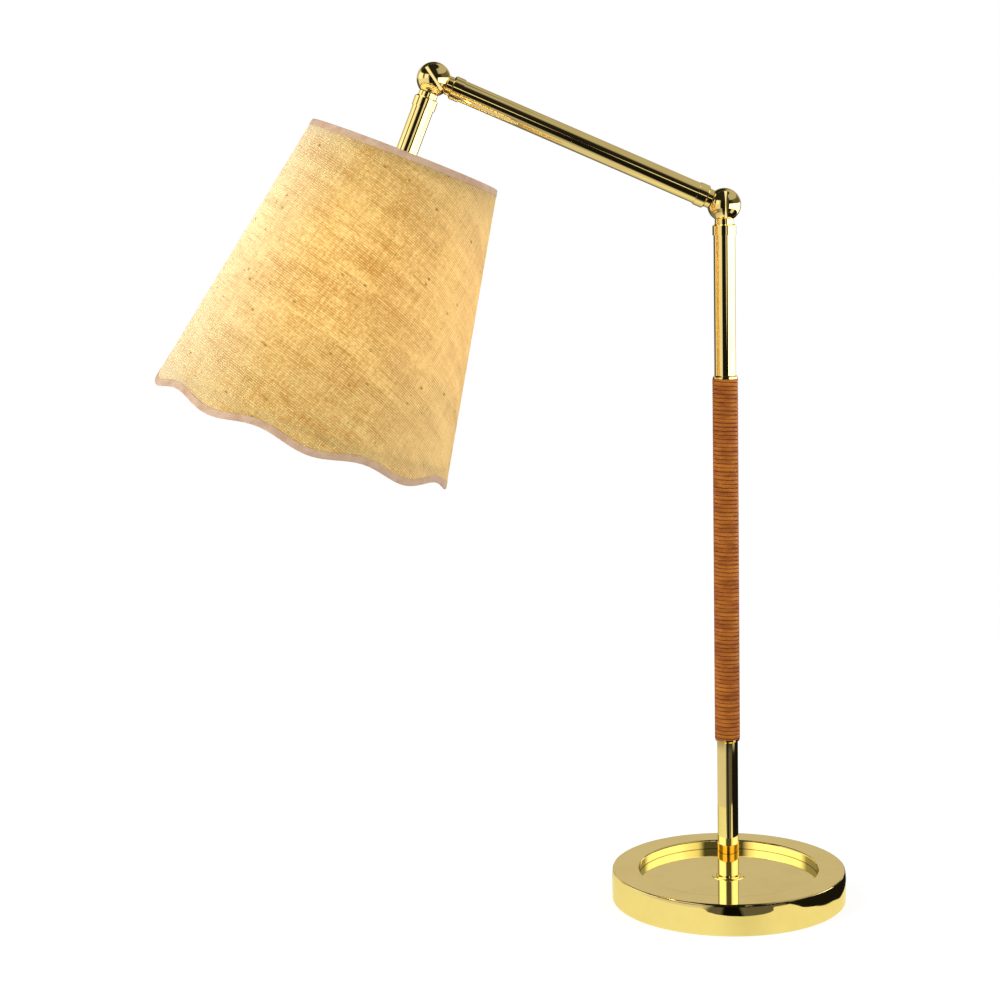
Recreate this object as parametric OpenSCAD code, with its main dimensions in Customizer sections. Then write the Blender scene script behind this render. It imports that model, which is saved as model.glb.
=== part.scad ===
// Adjustable table lamp: a dished round base, a leather-wound stem, an arm between two ball
// knuckles and a tilting shade with a wavy lower edge.
// The origin is on the table at the centre of the base. The stem stands on +Z, and the arm and
// the shade reach to -X. Both pivots turn about lines along Y. Sizes are in millimetres.

/* [Pose at rest] */
// Rise of the arm above level, in degrees
arm_rise = 24.1; // [5:0.1:42]
// Lean of the shade's axis away from plumb, in degrees
shade_tilt = 22.2; // [5:0.1:60]

/* [Base] */
// Outer diameter of the base
base_d = 180; // [160:1:220]
// Height of the base
base_h = 24.5; // [24:0.5:34]
// Diameter of the recess in the top of the base
recess_d = 138; // [110:1:144]
// Depth of the recess
recess_depth = 7; // [3:0.5:7.5]
// Rounding of the rims of the base
rim_round = 1; // [0.4:0.1:1.4]
// Height of the curved upper part of the base's side
crown_h = 9; // [5:0.5:14]
// How far that curve draws the side in at the top
crown_in = 0.8; // [0.3:0.1:1.2]
// Wall at the side of the base
base_side_wall = 4; // [3:0.5:6]
// Floor of the recess
base_floor = 3; // [2:0.25:3.5]
// Thickness of the felt pad
pad_t = 2; // [1:0.25:2.5]
// Gap between the ballast and the shell round it
weight_gap = 0.5; // [0.2:0.1:1]

/* [Stem and tubes] */
// Outer diameter of the stem, the arm and the drop tube
tube_d = 16; // [14:0.5:18]
// Wall of the tubes
tube_wall = 1.2; // [1:0.1:2]
// Height of the lower pivot above the table
lower_pivot_z = 532; // [470:1:620]
// Length of the arm from pivot to pivot
arm_l = 233; // [180:1:300]
// Diameter of the flange at the foot of the stem
flange_d = 25; // [22:0.5:34]
// Thickness of that flange
flange_t = 0.8; // [0.6:0.1:2]

/* [Leather grip] */
// Height of the grip's lower end above the table
grip_z = 124.5; // [60:0.5:160]
// Length of the grip with its two end rings
grip_l = 281; // [200:1:320]
// Height of each end ring
grip_ring_h = 2.5; // [2:0.5:8]
// How far the leather stands out past its end rings
grip_ring_step = 0.4; // [0:0.1:0.6]
// Thickness of the leather
leather_t = 1.6; // [1.2:0.1:2.5]
// Turns of the leather strip
wrap_turns = 24; // [12:1:24]
// Gap between one turn and the next
wrap_gap = 0.45; // [0.45:0.05:1]

/* [Ball knuckles] */
// Diameter of each ball
ball_d = 25; // [23:0.5:28]
// Distance from the ball's centre to the underside of the slotted screw head
head_seat = 6.9; // [6.5:0.1:8]
// Width of the screwdriver slot
slot_w = 2.4; // [1:0.1:3]
// Metal left between the slot and the underside of the head
slot_floor = 0.6; // [0.5:0.1:3]
// Diameter of the pivot screw's shank
shank_d = 6; // [5:0.5:7]
// Gap between the two halves of a ball
half_gap = 0.3; // [0.2:0.05:0.6]
// Length of neck that shows between a ball and the collar
neck_show = 1.8; // [1.6:0.1:4]
// Wall of the collar on each tube end
collar_wall = 0.7; // [0.5:0.1:1.5]
// Height of each collar
collar_h = 8; // [5:0.5:12]
// Length of the spigot that each half pushes into its tube
spigot_l = 14; // [8:1:18]
// Turn of the upper screw's slot away from plumb, in degrees
upper_slot_turn = 32.6; // [0:0.1:90]

/* [Shade] */
// Diameter of the shade's top edge
shade_top_d = 144; // [130:1:170]
// Diameter of the shade's bottom edge
shade_bottom_d = 228; // [200:1:260]
// Height of the shade along its axis, to the middle of the wave
shade_h = 214.5; // [180:1:240]
// Distance from the upper pivot to the shade's top edge
shade_drop = 59.2; // [54:0.1:64]
// Thickness of the fabric on its stiff liner
shade_wall = 1.2; // [0.8:0.1:2]
// Number of lobes in the bottom edge
lobes = 9; // [6:1:14]
// Height of the wave from its middle line
lobe_h = 3; // [1:0.5:6]
// Turn of the first lobe about the shade's axis, in degrees
lobe_turn = 274.3; // [0:0.1:360]
// Width of the tape on both edges
tape_w = 6; // [4:0.5:10]
// Thickness of the tape
tape_t = 0.5; // [0.3:0.1:1]
// Diameter of the frame's wires
wire_d = 3; // [2:0.5:4]

/* [Lampholder and bulb] */
// Distance from the upper pivot to the lampholder
holder_drop = 66; // [60:1:74]
// Outer diameter of the lampholder's body
holder_d = 39; // [37:0.5:42]
// Length of the lampholder's body
holder_l = 36; // [32:1:38]
// Diameter of the bulb's screw cap
bulb_cap_d = 26.6; // [25:0.1:27]
// Diameter of the bulb's globe
bulb_d = 60; // [45:1:62]
// Length of the bulb below its screw cap
bulb_l = 80; // [72:1:90]

/* [Inlet and wiring] */
// Bore of the cable bush in the base
bush_bore_d = 6.4; // [5:0.1:7]
// Height of the bush's axis above the table
bush_z = 8; // [7.5:0.1:9]
// Diameter of the inner lead
lead_d = 2.8; // [2:0.1:3.2]

/* [Hidden] */
$fn = 96;

// Colours
brass = "goldenrod";
dark_iron = "dimgray";
steel = "silver";
leather = "peru";
raffia = "burlywood";
tape = "antiquewhite";
porcelain = "whitesmoke";
phenolic = "saddlebrown";

// Fits
push_fit = 0.05;      // radial clearance of a part pushed or screwed into another
run_fit = 0.05;       // radial clearance of the shank that turns in its bore
turn_gap = 0.35;      // gap between a ball and the neck that turns round it
washer_play = 0.1;    // clearance round a washer in its groove
overlap = 1;          // how far a cutter runs past the face that it opens

// Tubes and radii
tube_r = tube_d / 2;
tube_bore_r = tube_r - tube_wall;
spigot_r = tube_bore_r - push_fit;
neck_r = tube_bore_r + 0.2;
collar_r = tube_r + push_fit + collar_wall;
collar_lip = 1;
collar_chamfer = 1;
collar_start = ball_d / 2 + neck_show;
tube_end = collar_start + collar_lip;

// Base levels
floor_z = base_h - recess_depth;
cavity_top = floor_z - base_floor;
rim_cavity_top = base_h - base_floor;
base_r = base_d / 2;
recess_r = recess_d / 2;
cavity_r = base_r - base_side_wall;
step_r = recess_r + base_floor;
crown_r = (crown_h * crown_h + crown_in * crown_in) / (2 * crown_in);
crown_centre = [base_r - crown_r, base_h - crown_h];
crown_end = asin((crown_h - rim_round) / (crown_r - rim_round));
skirt_lift = 0.5;

// Thread that holds the stem, an M10 lamp pipe
pipe_r = 5;
pipe_bore_r = 3.6;
pipe_hole_r = pipe_r + 0.2;
pipe_into_stem = 12;
web_t = 3;
web_z = cavity_top - web_t;
stem_washer_t = 1.2;
stem_washer_r = 12;
stem_nut_t = 3.5;
stem_nut_across = 17;
stem_nut_z = web_z - stem_washer_t - stem_nut_t;
pipe_foot_z = stem_nut_z - 0.5;
plug_l = 13.5;
tube_foot = floor_z + flange_t;

// Ball knuckle
ball_r = ball_d / 2;
screw_head_r = sqrt(ball_r * ball_r - head_seat * head_seat);
slot_depth = ball_r - head_seat - slot_floor;
head_gap = 0.05;
seat_y = head_seat - head_gap;
shank_r = shank_d / 2;
shank_into_half = 8.5;
washer_out_r = ball_r - 1.1;
washer_in_r = washer_out_r - 2.4;
washer_groove = 0.4;
spring_washer_r = shank_r + 3.8;
spring_washer_t = 0.9;
spring_seat_depth = 1;
chamber_in_r = shank_r + 1.6;
chamber_out_r = washer_in_r - 0.6;
chamber_depth = seat_y - spring_seat_depth - 1.85;
passage_y = 2.3;
passage_r = 1.9;

// Places of the pivots
upper_pivot = [-arm_l * cos(arm_rise), 0, lower_pivot_z + arm_l * sin(arm_rise)];

// Grip
grip_r = tube_r + leather_t;
wrap_z = grip_z + grip_ring_h;
wrap_l = grip_l - 2 * grip_ring_h;
wrap_pitch = (wrap_l + wrap_gap) / (wrap_turns + 1);
strip_w = wrap_pitch - wrap_gap;
strip_edge = 0.5;
strip_in_r = tube_r + 0.12;
wrap_rings = 24;

// Shade
shade_slope = (shade_bottom_d - shade_top_d) / 2 / shade_h;
cone_angle = atan(shade_slope);
shade_bottom = shade_drop + shade_h;
along_wall = [sin(cone_angle), -cos(cone_angle)];
out_of_wall = [cos(cone_angle), sin(cone_angle)];
tape_gap = 0.05;
wire_r = wire_d / 2;
wire_gap = 0.1;
shade_steps = 180;

// Lampholder, measured down from the upper pivot
cap_top = holder_drop;
cap_wall = 2;
cap_r = holder_d / 2 + 0.5;
cap_h = 18;
body_top = cap_top + cap_h;
body_r = holder_d / 2;
body_bottom = body_top + holder_l;
body_bore_r = bulb_cap_d / 2 + 0.9;
insert_r = body_r - 3.5;
insert_top = cap_top + 12;
insert_seat = body_top + 2;
body_flange_r = body_r + 4.5;
body_flange_top = body_top + 8;
body_flange_t = 2;
spider_t = 1.5;
spider_r = body_r + 6.5;
spider_top = body_flange_top + body_flange_t;
ring_top = spider_top + spider_t + 0.1;
ring_h = 6;
ring_r = body_r + 7.5;
ring_notches = 24;
spokes = 3;
drop_tube_end = cap_top - 0.3;
bulb_cap_top = insert_seat + 9;
bulb_cap_l = 26;
glass_top = bulb_cap_top + bulb_cap_l;
glass_wall = 0.8;

// Cable bush
bush_r = bush_bore_d / 2 + 1.8;
bush_flange_r = bush_r + 1.5;
bush_flange_t = 2;
bush_in = 4;
bush_end_y = base_r - base_side_wall - bush_in;

// Inner leads
lead_r = lead_d / 2;
lead_sides = 10;
lead_bend_r = 4;
lead_floor_z = pad_t + lead_r + 0.2;
lead_end = chamber_out_r - 1.4;

// Frames of the three rigid groups
module along_arm() {
    translate([0, 0, lower_pivot_z]) rotate([0, arm_rise, 0]) children();
}

module at_arm_end() {
    along_arm() translate([-arm_l, 0, 0]) rotate([0, -90, 0]) children();
}

module at_arm_start() {
    along_arm() rotate([0, 90, 0]) children();
}

module at_stem_top() {
    translate([0, 0, lower_pivot_z]) children();
}

module along_drop() {
    translate(upper_pivot) rotate([0, shade_tilt, 0]) children();
}

// Points of an arc in a profile, from angle a0 to a1 in n steps
function arc(centre, r, a0, a1, n = 5) =
    [for (i = [0:n]) let (a = a0 + (a1 - a0) * i / n) centre + r * [cos(a), sin(a)]];

// The point at t, from 0 to 1, of the curve from a to d with handles b and c
function bezier(a, b, c, d, t) =
    pow(1 - t, 3) * a + 3 * pow(1 - t, 2) * t * b + 3 * (1 - t) * t * t * c + pow(t, 3) * d;

// Faces of a skin over rings of m points each: n rings, closed round or open with two end faces
function skin_faces(n, m, closed) =
    let (
        last = closed ? n - 1 : n - 2,
        sides = [
            for (i = [0:last], j = [0:m - 1])
            let (a = i * m + j, b = i * m + (j + 1) % m, k = (i + 1) % n)
            each [[a, b, k * m + (j + 1) % m], [a, k * m + (j + 1) % m, k * m + j]]
        ],
        first_end = [for (j = [1:m - 2]) [0, j + 1, j]],
        last_end = [for (j = [1:m - 2]) [(n - 1) * m, (n - 1) * m + j, (n - 1) * m + j + 1]]
    )
    closed ? sides : concat(sides, first_end, last_end);

// A point of a profile [r, z] turned to angle a about Z
function turned(p, a) = [p[0] * cos(a), p[0] * sin(a), p[1]];

function unit(v) = v / norm(v);

// A straight round rod from point a to point b
module rod(a, b, r) {
    d = b - a;
    translate(a)
        rotate([0, acos(d[2] / norm(d)), atan2(d[1], d[0])])
            cylinder(h = norm(d), r = r);
}

// A lead whose route of points [y, z] lies in the YZ plane. Each ring halves the bend it stands in.
module lead(route) {
    last = len(route) - 1;
    points = [
        for (i = [0:last])
        let (
            before = i == 0 ? [0, 0] : unit(route[i] - route[i - 1]),
            after = i == last ? [0, 0] : unit(route[i + 1] - route[i]),
            way = unit(before + after)
        )
        for (j = [0:lead_sides - 1])
        let (a = 360 * j / lead_sides)
        [0, route[i][0], route[i][1]] + lead_r * [cos(a), -sin(a) * way[1], sin(a) * way[0]]
    ];
    color("white") polyhedron(points, skin_faces(last + 1, lead_sides, false));
}

// A flat ring with its axis on Z, standing on z
module ring(z, h, r_in, r_out) {
    translate([0, 0, z]) difference() {
        cylinder(h = h, r = r_out);
        translate([0, 0, -overlap]) cylinder(h = h + 2 * overlap, r = r_in);
    }
}

// A flat ring with its axis on Y, from y to y + t
module cross_ring(y, t, r_in, r_out) {
    translate([0, y, 0]) rotate([-90, 0, 0]) ring(0, t, r_in, r_out);
}

// A cylinder with its axis on Y, from y to y + t
module cross_bar(y, t, r) {
    translate([0, y, 0]) rotate([-90, 0, 0]) cylinder(h = t, r = r);
}

// Everything on one side of the plane at y: side -1 keeps smaller y, side 1 keeps larger y
module half_space(side, y) {
    reach = 60;
    translate([-reach, side < 0 ? y - 2 * reach : y, -reach]) cube(2 * reach);
}

// One half of a ball knuckle. The ball's centre is the origin and its neck runs down -Z.
// Side -1 is the near half, which the screw head clamps. Side 1 takes the screw's thread.
module knuckle_half(side) {
    face_y = side * half_gap / 2;
    difference() {
        union() {
            intersection() {
                sphere(r = ball_r);
                half_space(side, face_y);
            }
            translate([0, 0, -tube_end]) cylinder(h = tube_end - chamber_out_r, r = neck_r);
            translate([0, 0, -tube_end - spigot_l]) cylinder(h = spigot_l + collar_lip, r = spigot_r);
        }
        // Room for the other half of the ball to turn
        intersection() {
            sphere(r = ball_r + turn_gap);
            half_space(-side, face_y);
        }
        // Bore for the shank
        cross_bar(side < 0 ? -2 * ball_r : 0, side < 0 ? 2 * ball_r : shank_into_half + 0.5,
                  shank_r + run_fit);
        // Chamber in which the lead goes round the shank
        cross_ring(side < 0 ? -chamber_depth : 0, chamber_depth, chamber_in_r, chamber_out_r);
        // Groove for the friction washer
        cross_ring(side < 0 ? face_y - washer_groove : 0, side < 0 ? 2 : face_y + washer_groove,
                   washer_in_r - washer_play, washer_out_r + washer_play);
        // Passage for the lead, from the chamber to the end of the spigot
        translate([0, side * passage_y, -tube_end - spigot_l - overlap])
            cylinder(h = tube_end + spigot_l + overlap - chamber_in_r - passage_r, r = passage_r);
        if (side < 0) {
            // Seat of the screw head, and the pocket of the spring washer in it
            cross_bar(-2 * ball_r, 2 * ball_r - seat_y, screw_head_r + washer_play);
            cross_bar(-2 * ball_r, 2 * ball_r - seat_y + spring_seat_depth,
                      spring_washer_r + washer_play);
        }
    }
}

// The ring between the two halves that makes the joint stiff
module friction_washer() {
    color("dimgray")
        cross_ring(-half_gap / 2 - washer_groove,
                   half_gap + 2 * washer_groove - washer_play, washer_in_r, washer_out_r);
}

// The spring washer under the screw head
module spring_washer() {
    color(steel)
        cross_ring(-seat_y + spring_seat_depth - spring_washer_t, spring_washer_t,
                   shank_r + 2 * washer_play, spring_washer_r);
}

// The pivot screw: a slotted head that completes the ball, and its shank
module pivot_screw() {
    color(brass) {
        difference() {
            intersection() {
                sphere(r = ball_r);
                half_space(-1, -head_seat);
            }
            translate([-slot_w / 2, -ball_r - overlap, -ball_r])
                cube([slot_w, slot_depth + overlap, ball_d]);
        }
        cross_bar(-head_seat, head_seat + shank_into_half, shank_r);
    }
}

// Collar round the end of a tube, with its lip over the tube's end
module tube_collar() {
    color(brass) rotate_extrude() polygon([
        [neck_r + push_fit, -collar_start],
        [neck_r + push_fit, -tube_end],
        [tube_r + push_fit, -tube_end],
        [tube_r + push_fit, -collar_start - collar_h],
        [collar_r, -collar_start - collar_h],
        [collar_r, -collar_start - collar_chamfer],
        [collar_r - collar_chamfer, -collar_start]
    ]);
}

// Base
module base_dish() {
    color(brass) difference() {
        rotate_extrude() polygon(concat(
            [[pipe_hole_r, floor_z]],
            [[recess_r, floor_z]],
            arc([recess_r + rim_round, base_h - rim_round], rim_round, 180, 90),
            arc(crown_centre + (crown_r - rim_round) * [cos(crown_end), sin(crown_end)],
                rim_round, 90, crown_end),
            arc(crown_centre, crown_r, crown_end, 0),
            arc([base_r - rim_round, skirt_lift + rim_round], rim_round, 0, -90),
            [[cavity_r, skirt_lift]],
            [[cavity_r, rim_cavity_top]],
            [[step_r, rim_cavity_top]],
            [[step_r, cavity_top]],
            [[pipe_hole_r, cavity_top]]
        ));
        translate([0, 0, bush_z]) cross_bar(0, base_r + overlap, bush_r + push_fit);
    }
}

module base_weight() {
    nut_room_r = stem_washer_r + 2;
    rim_in_r = step_r + weight_gap;
    rim_out_r = cavity_r - weight_gap;
    groove_w = 10;
    bush_room_w = 2 * bush_r + 2;
    bush_room_y = bush_end_y - 2;
    color(dark_iron) difference() {
        rotate_extrude() polygon([
            [pipe_hole_r, cavity_top],
            [pipe_hole_r, web_z],
            [nut_room_r, web_z],
            [nut_room_r, pad_t],
            [rim_out_r, pad_t],
            [rim_out_r, rim_cavity_top - weight_gap],
            [rim_in_r, rim_cavity_top - weight_gap],
            [rim_in_r, cavity_top]
        ]);
        translate([-groove_w / 2, 0, pad_t - overlap])
            cube([groove_w, base_r, web_z - pad_t + overlap]);
        translate([-bush_room_w / 2, bush_room_y, pad_t - overlap])
            cube([bush_room_w, base_r, bush_z + bush_r + 1 - pad_t + overlap]);
    }
}

module base_pad() {
    color("darkolivegreen") cylinder(h = pad_t, r = cavity_r - weight_gap);
}

module cord_bush() {
    color("black") translate([0, 0, bush_z]) {
        cross_ring(base_r, bush_flange_t, bush_bore_d / 2, bush_flange_r);
        cross_ring(bush_end_y, base_side_wall + bush_in, bush_bore_d / 2, bush_r);
    }
}

// Foot of the stem
module foot_flange() {
    boss_r = tube_r + 1.3;
    boss_h = 1.4;
    edge = 0.3;
    color(brass) rotate_extrude() polygon([
        [pipe_hole_r, floor_z],
        [flange_d / 2, floor_z],
        [flange_d / 2, floor_z + flange_t - edge],
        [flange_d / 2 - edge, floor_z + flange_t],
        [boss_r, floor_z + flange_t],
        [boss_r - edge, floor_z + flange_t + boss_h],
        [tube_r + push_fit, floor_z + flange_t + boss_h],
        [tube_r + push_fit, tube_foot],
        [pipe_hole_r, tube_foot]
    ]);
}

module stem_nipple() {
    color(steel) ring(pipe_foot_z, tube_foot + pipe_into_stem - pipe_foot_z, pipe_bore_r, pipe_r);
}

module stem_plug() {
    color(brass) ring(tube_foot, plug_l, pipe_r + push_fit, spigot_r);
}

module stem_washer() {
    color(steel)
        ring(web_z - stem_washer_t, stem_washer_t, pipe_hole_r, stem_washer_r);
}

module stem_nut() {
    color(steel) translate([0, 0, stem_nut_z]) difference() {
        cylinder(h = stem_nut_t, r = stem_nut_across / 2 / cos(30), $fn = 6);
        translate([0, 0, -overlap]) cylinder(h = stem_nut_t + 2 * overlap, r = pipe_r + push_fit);
    }
}

module stem_tube() {
    color(brass) ring(tube_foot, lower_pivot_z - tube_end - tube_foot, tube_bore_r, tube_r);
}

// Grip: a leather strip wound on the tube between two rings
module grip_ring(side) {
    r = grip_r - grip_ring_step;
    bevel = min(1, grip_ring_h / 2);
    edge = 0.2;
    // The bevel is on the side away from the leather
    color(brass) translate([0, 0, side < 0 ? grip_z : grip_z + grip_l])
        rotate_extrude() polygon([
            [tube_r + push_fit, 0],
            [r - bevel, 0],
            [r, -side * bevel],
            [r, -side * (grip_ring_h - edge)],
            [r - edge, -side * grip_ring_h],
            [tube_r + push_fit, -side * grip_ring_h]
        ]);
}

module grip_ring_bottom() {
    grip_ring(-1);
}

module grip_ring_top() {
    grip_ring(1);
}

strip_section = [
    [strip_in_r, 0],
    [grip_r - strip_edge, 0],
    [grip_r, strip_edge],
    [grip_r, strip_w - strip_edge],
    [grip_r - strip_edge, strip_w],
    [strip_in_r, strip_w]
];

strip_points = [
    for (i = [0:wrap_turns * wrap_rings], p = strip_section)
    turned(p + [0, wrap_z + wrap_pitch * i / wrap_rings], 360 * i / wrap_rings)
];

// Least distance from the top edge of one turn to the bottom edge of the next
strip_n = len(strip_section);
turn_step = strip_n * wrap_rings;
strip_gap = min([
    for (i = [0:strip_n:len(strip_points) - turn_step - 1])
    norm(strip_points[i + turn_step] - strip_points[i + strip_n - 1])
]);
echo(str("least gap between two turns of the leather: ", strip_gap, " mm"));

module grip_wrap() {
    rings = wrap_turns * wrap_rings + 1;
    color(leather) polyhedron(strip_points, skin_faces(rings, strip_n, false));
}

// Top of the stem and the lower knuckle
module stem_collar() {
    at_stem_top() tube_collar();
}

module stem_knuckle() {
    color(brass) at_stem_top() knuckle_half(-1);
}

module lower_friction_washer() {
    at_stem_top() friction_washer();
}

module lower_spring_washer() {
    at_stem_top() spring_washer();
}

module lower_pivot_screw() {
    at_stem_top() pivot_screw();
}

module stem_lead() {
    spigot_end = lower_pivot_z - tube_end - spigot_l;
    lead(concat(
        [[bush_end_y, bush_z]],
        [[bush_end_y - 8, bush_z]],
        [[stem_washer_r + 4, lead_floor_z]],
        arc([lead_bend_r, lead_floor_z + lead_bend_r], lead_bend_r, 270, 180),
        [[0, spigot_end - 30]],
        [[-passage_y, spigot_end - 6]],
        [[-passage_y, lower_pivot_z - lead_end]]
    ));
}

// Arm
module arm_knuckle_lower() {
    color(brass) at_arm_start() knuckle_half(1);
}

module arm_collar_lower() {
    at_arm_start() tube_collar();
}

module arm_tube() {
    color(brass) at_arm_start() ring(tube_end - arm_l, arm_l - 2 * tube_end, tube_bore_r, tube_r);
}

module arm_collar_upper() {
    at_arm_end() tube_collar();
}

module arm_knuckle_upper() {
    color(brass) at_arm_end() knuckle_half(-1);
}

module upper_friction_washer() {
    at_arm_end() friction_washer();
}

module upper_spring_washer() {
    at_arm_end() spring_washer();
}

module arm_lead() {
    spigot_end = tube_end + spigot_l;
    at_arm_start() lead([
        [passage_y, -lead_end],
        [passage_y, -spigot_end - 6],
        [-passage_y, -arm_l + spigot_end + 6],
        [-passage_y, -arm_l + lead_end]
    ]);
}

// Drop tube
module drop_knuckle() {
    color(brass) along_drop() knuckle_half(1);
}

module upper_pivot_screw() {
    translate(upper_pivot) rotate([0, -upper_slot_turn, 0]) pivot_screw();
}

module drop_collar() {
    along_drop() tube_collar();
}

module drop_tube() {
    color(brass) along_drop() ring(-drop_tube_end, drop_tube_end - tube_end, tube_bore_r, tube_r);
}

module drop_plug() {
    color(brass) along_drop() ring(-drop_tube_end, plug_l, pipe_r + push_fit, spigot_r);
}

module drop_nipple() {
    into_cap = 8;
    color(steel) along_drop()
        ring(-cap_top - into_cap, into_cap + plug_l - 2, pipe_bore_r, pipe_r);
}

module drop_lead() {
    spigot_end = tube_end + spigot_l;
    along_drop() lead([
        [passage_y, -lead_end],
        [passage_y, -spigot_end - 2],
        [0, -drop_tube_end + plug_l - 4],
        [0, -insert_top]
    ]);
}

// Lampholder
module holder_cap() {
    shoulder = 10;
    color(phenolic) along_drop() rotate_extrude() polygon([
        [pipe_r + push_fit, -cap_top],
        [pipe_r + push_fit, -cap_top - cap_wall],
        [cap_r - shoulder, -cap_top - cap_wall],
        [cap_r - cap_wall, -cap_top - shoulder],
        [cap_r - cap_wall, -body_top],
        [cap_r, -body_top],
        [cap_r, -cap_top - shoulder + 1],
        [cap_r - shoulder + 1, -cap_top]
    ]);
}

module holder_insert() {
    contact_r = 3;
    color(porcelain) along_drop() {
        translate([0, 0, -insert_seat]) cylinder(h = insert_seat - insert_top, r = insert_r);
        translate([0, 0, -bulb_cap_top + 0.1])
            cylinder(h = bulb_cap_top - insert_seat, r = contact_r);
    }
}

module holder_body() {
    sleeve_r = cap_r - cap_wall - push_fit;
    sleeve_h = 4;
    color(phenolic) along_drop() rotate_extrude() polygon([
        [insert_r + push_fit, -body_top + sleeve_h],
        [insert_r + push_fit, -insert_seat],
        [body_bore_r, -insert_seat],
        [body_bore_r, -body_bottom],
        [body_r, -body_bottom],
        [body_r, -body_flange_top - body_flange_t],
        [body_flange_r, -body_flange_top - body_flange_t],
        [body_flange_r, -body_flange_top],
        [body_r, -body_flange_top],
        [body_r, -body_top],
        [sleeve_r, -body_top],
        [sleeve_r, -body_top + sleeve_h]
    ]);
}

module holder_ring() {
    notch_r = 1.2;
    color(phenolic) along_drop() difference() {
        ring(-ring_top - ring_h, ring_h, body_r + push_fit, ring_r);
        for (i = [0:ring_notches - 1]) rotate([0, 0, 360 * i / ring_notches])
            translate([ring_r + notch_r / 2, 0, -ring_top - ring_h - overlap])
                cylinder(h = ring_h + 2 * overlap, r = notch_r, $fn = 24);
    }
}

// Bulb
module bulb_cap() {
    tip_r = 4.5;
    tip_h = 3;
    threads = 6;
    thread_pitch = 3.2;
    thread_r = 0.7;
    color(steel) along_drop() difference() {
        union() {
            translate([0, 0, -bulb_cap_top - tip_h]) cylinder(h = tip_h, r1 = bulb_cap_d / 2 - 3, r2 = tip_r);
            translate([0, 0, -glass_top]) cylinder(h = bulb_cap_l - tip_h, r = bulb_cap_d / 2);
        }
        for (i = [1:threads]) translate([0, 0, -bulb_cap_top - tip_h - i * thread_pitch])
            rotate_extrude() translate([bulb_cap_d / 2 + 0.1, 0]) circle(r = thread_r, $fn = 24);
    }
}

// Profile of the bulb's glass, drawn in by inset: a sphere, and one smooth curve up to the neck
function bulb_side(inset) =
    let (
        globe_r = bulb_d / 2 - inset,
        globe = [0, -glass_top - bulb_l + bulb_d / 2],
        shoulder = 55,
        neck_end = [bulb_cap_d / 2 - 0.3 - inset, -glass_top],
        joint = globe + globe_r * [cos(shoulder), sin(shoulder)],
        pull = (neck_end[1] - joint[1]) * 0.45
    )
    concat(
        [
            for (i = [0:7])
            bezier(neck_end, neck_end - [0, pull], joint - pull * [sin(shoulder), -cos(shoulder)],
                   joint, i / 8)
        ],
        arc(globe, globe_r, shoulder, -80, 12),
        [[0, globe[1] - globe_r]]
    );

module bulb_glass() {
    outside = bulb_side(0);
    inside = bulb_side(glass_wall);
    last = len(inside) - 1;
    color("ivory", 0.8) along_drop()
        rotate_extrude() polygon(concat(outside, [for (i = [last:-1:0]) inside[i]]));
}

// Shade frame
function wall_r(depth) = shade_top_d / 2 + shade_slope * (depth - shade_drop);
function wire_ring_r(depth) = wall_r(depth) - (shade_wall + wire_r + wire_gap) / cos(cone_angle);

top_wire_depth = shade_drop + tape_w + wire_r + 1;
bottom_wire_depth = shade_bottom - lobe_h - tape_w - wire_r - 1;

module wire_ring(depth) {
    color(steel) along_drop() translate([0, 0, -depth])
        rotate_extrude() translate([wire_ring_r(depth), 0]) circle(r = wire_r, $fn = 32);
}

module shade_top_wire() {
    wire_ring(top_wire_depth);
}

module shade_bottom_wire() {
    wire_ring(bottom_wire_depth);
}

module shade_spider() {
    spoke_r = 1.4;
    reach = wire_ring_r(top_wire_depth) - wire_r - wire_gap - spoke_r;
    hub_z = -spider_top - spider_t / 2;
    knee_r = ring_r + 2;
    color(steel) along_drop() {
        ring(-spider_top - spider_t, spider_t, body_r + 2 * push_fit, spider_r);
        for (i = [0:spokes - 1]) rotate([0, 0, 30 + 360 * i / spokes]) {
            rod([knee_r, 0, hub_z], [reach, 0, -top_wire_depth], spoke_r);
            translate([reach, 0, -top_wire_depth]) sphere(r = spoke_r);
            rod([spider_r - 1, 0, hub_z], [knee_r, 0, hub_z], spider_t / 2);
            translate([knee_r, 0, hub_z]) sphere(r = spoke_r);
        }
    }
}

// Fabric of the shade. Its outer edge points follow the wave at the bottom.
function wave(a) = lobe_h * cos(lobes * (a - lobe_turn));
function edge_point(a) = let (depth = shade_bottom + wave(a)) [wall_r(depth), -depth];

module shade_cone() {
    top_out = [shade_top_d / 2, -shade_drop];
    points = [
        for (i = [0:shade_steps - 1])
        let (a = 360 * i / shade_steps, edge = edge_point(a))
        for (p = [top_out - shade_wall * out_of_wall, edge - shade_wall * out_of_wall, edge, top_out])
        turned(p, a)
    ];
    color(raffia) along_drop() polyhedron(points, skin_faces(shade_steps, 4, true));
}

// Section of the tape folded over an edge. Down is the way past the edge.
function tape_section(edge, down) =
    let (
        inner = shade_wall + tape_gap,
        back = -tape_w * down,
        under = tape_gap * down,
        out = out_of_wall
    )
    [
        edge - (inner + tape_t) * out + back,
        edge - (inner + tape_t) * out + under + tape_t * down,
        edge + (tape_gap + tape_t) * out + under + tape_t * down,
        edge + (tape_gap + tape_t) * out + back,
        edge + tape_gap * out + back,
        edge + tape_gap * out + under,
        edge - inner * out + under,
        edge - inner * out + back
    ];

module shade_top_trim() {
    color(tape) along_drop()
        rotate_extrude() polygon(tape_section([shade_top_d / 2, -shade_drop], -along_wall));
}

module shade_bottom_trim() {
    points = [
        for (i = [0:shade_steps - 1])
        let (a = 360 * i / shade_steps)
        for (p = tape_section(edge_point(a), along_wall))
        turned(p, a)
    ];
    color(tape) along_drop() polyhedron(points, skin_faces(shade_steps, 8, true));
}

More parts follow.
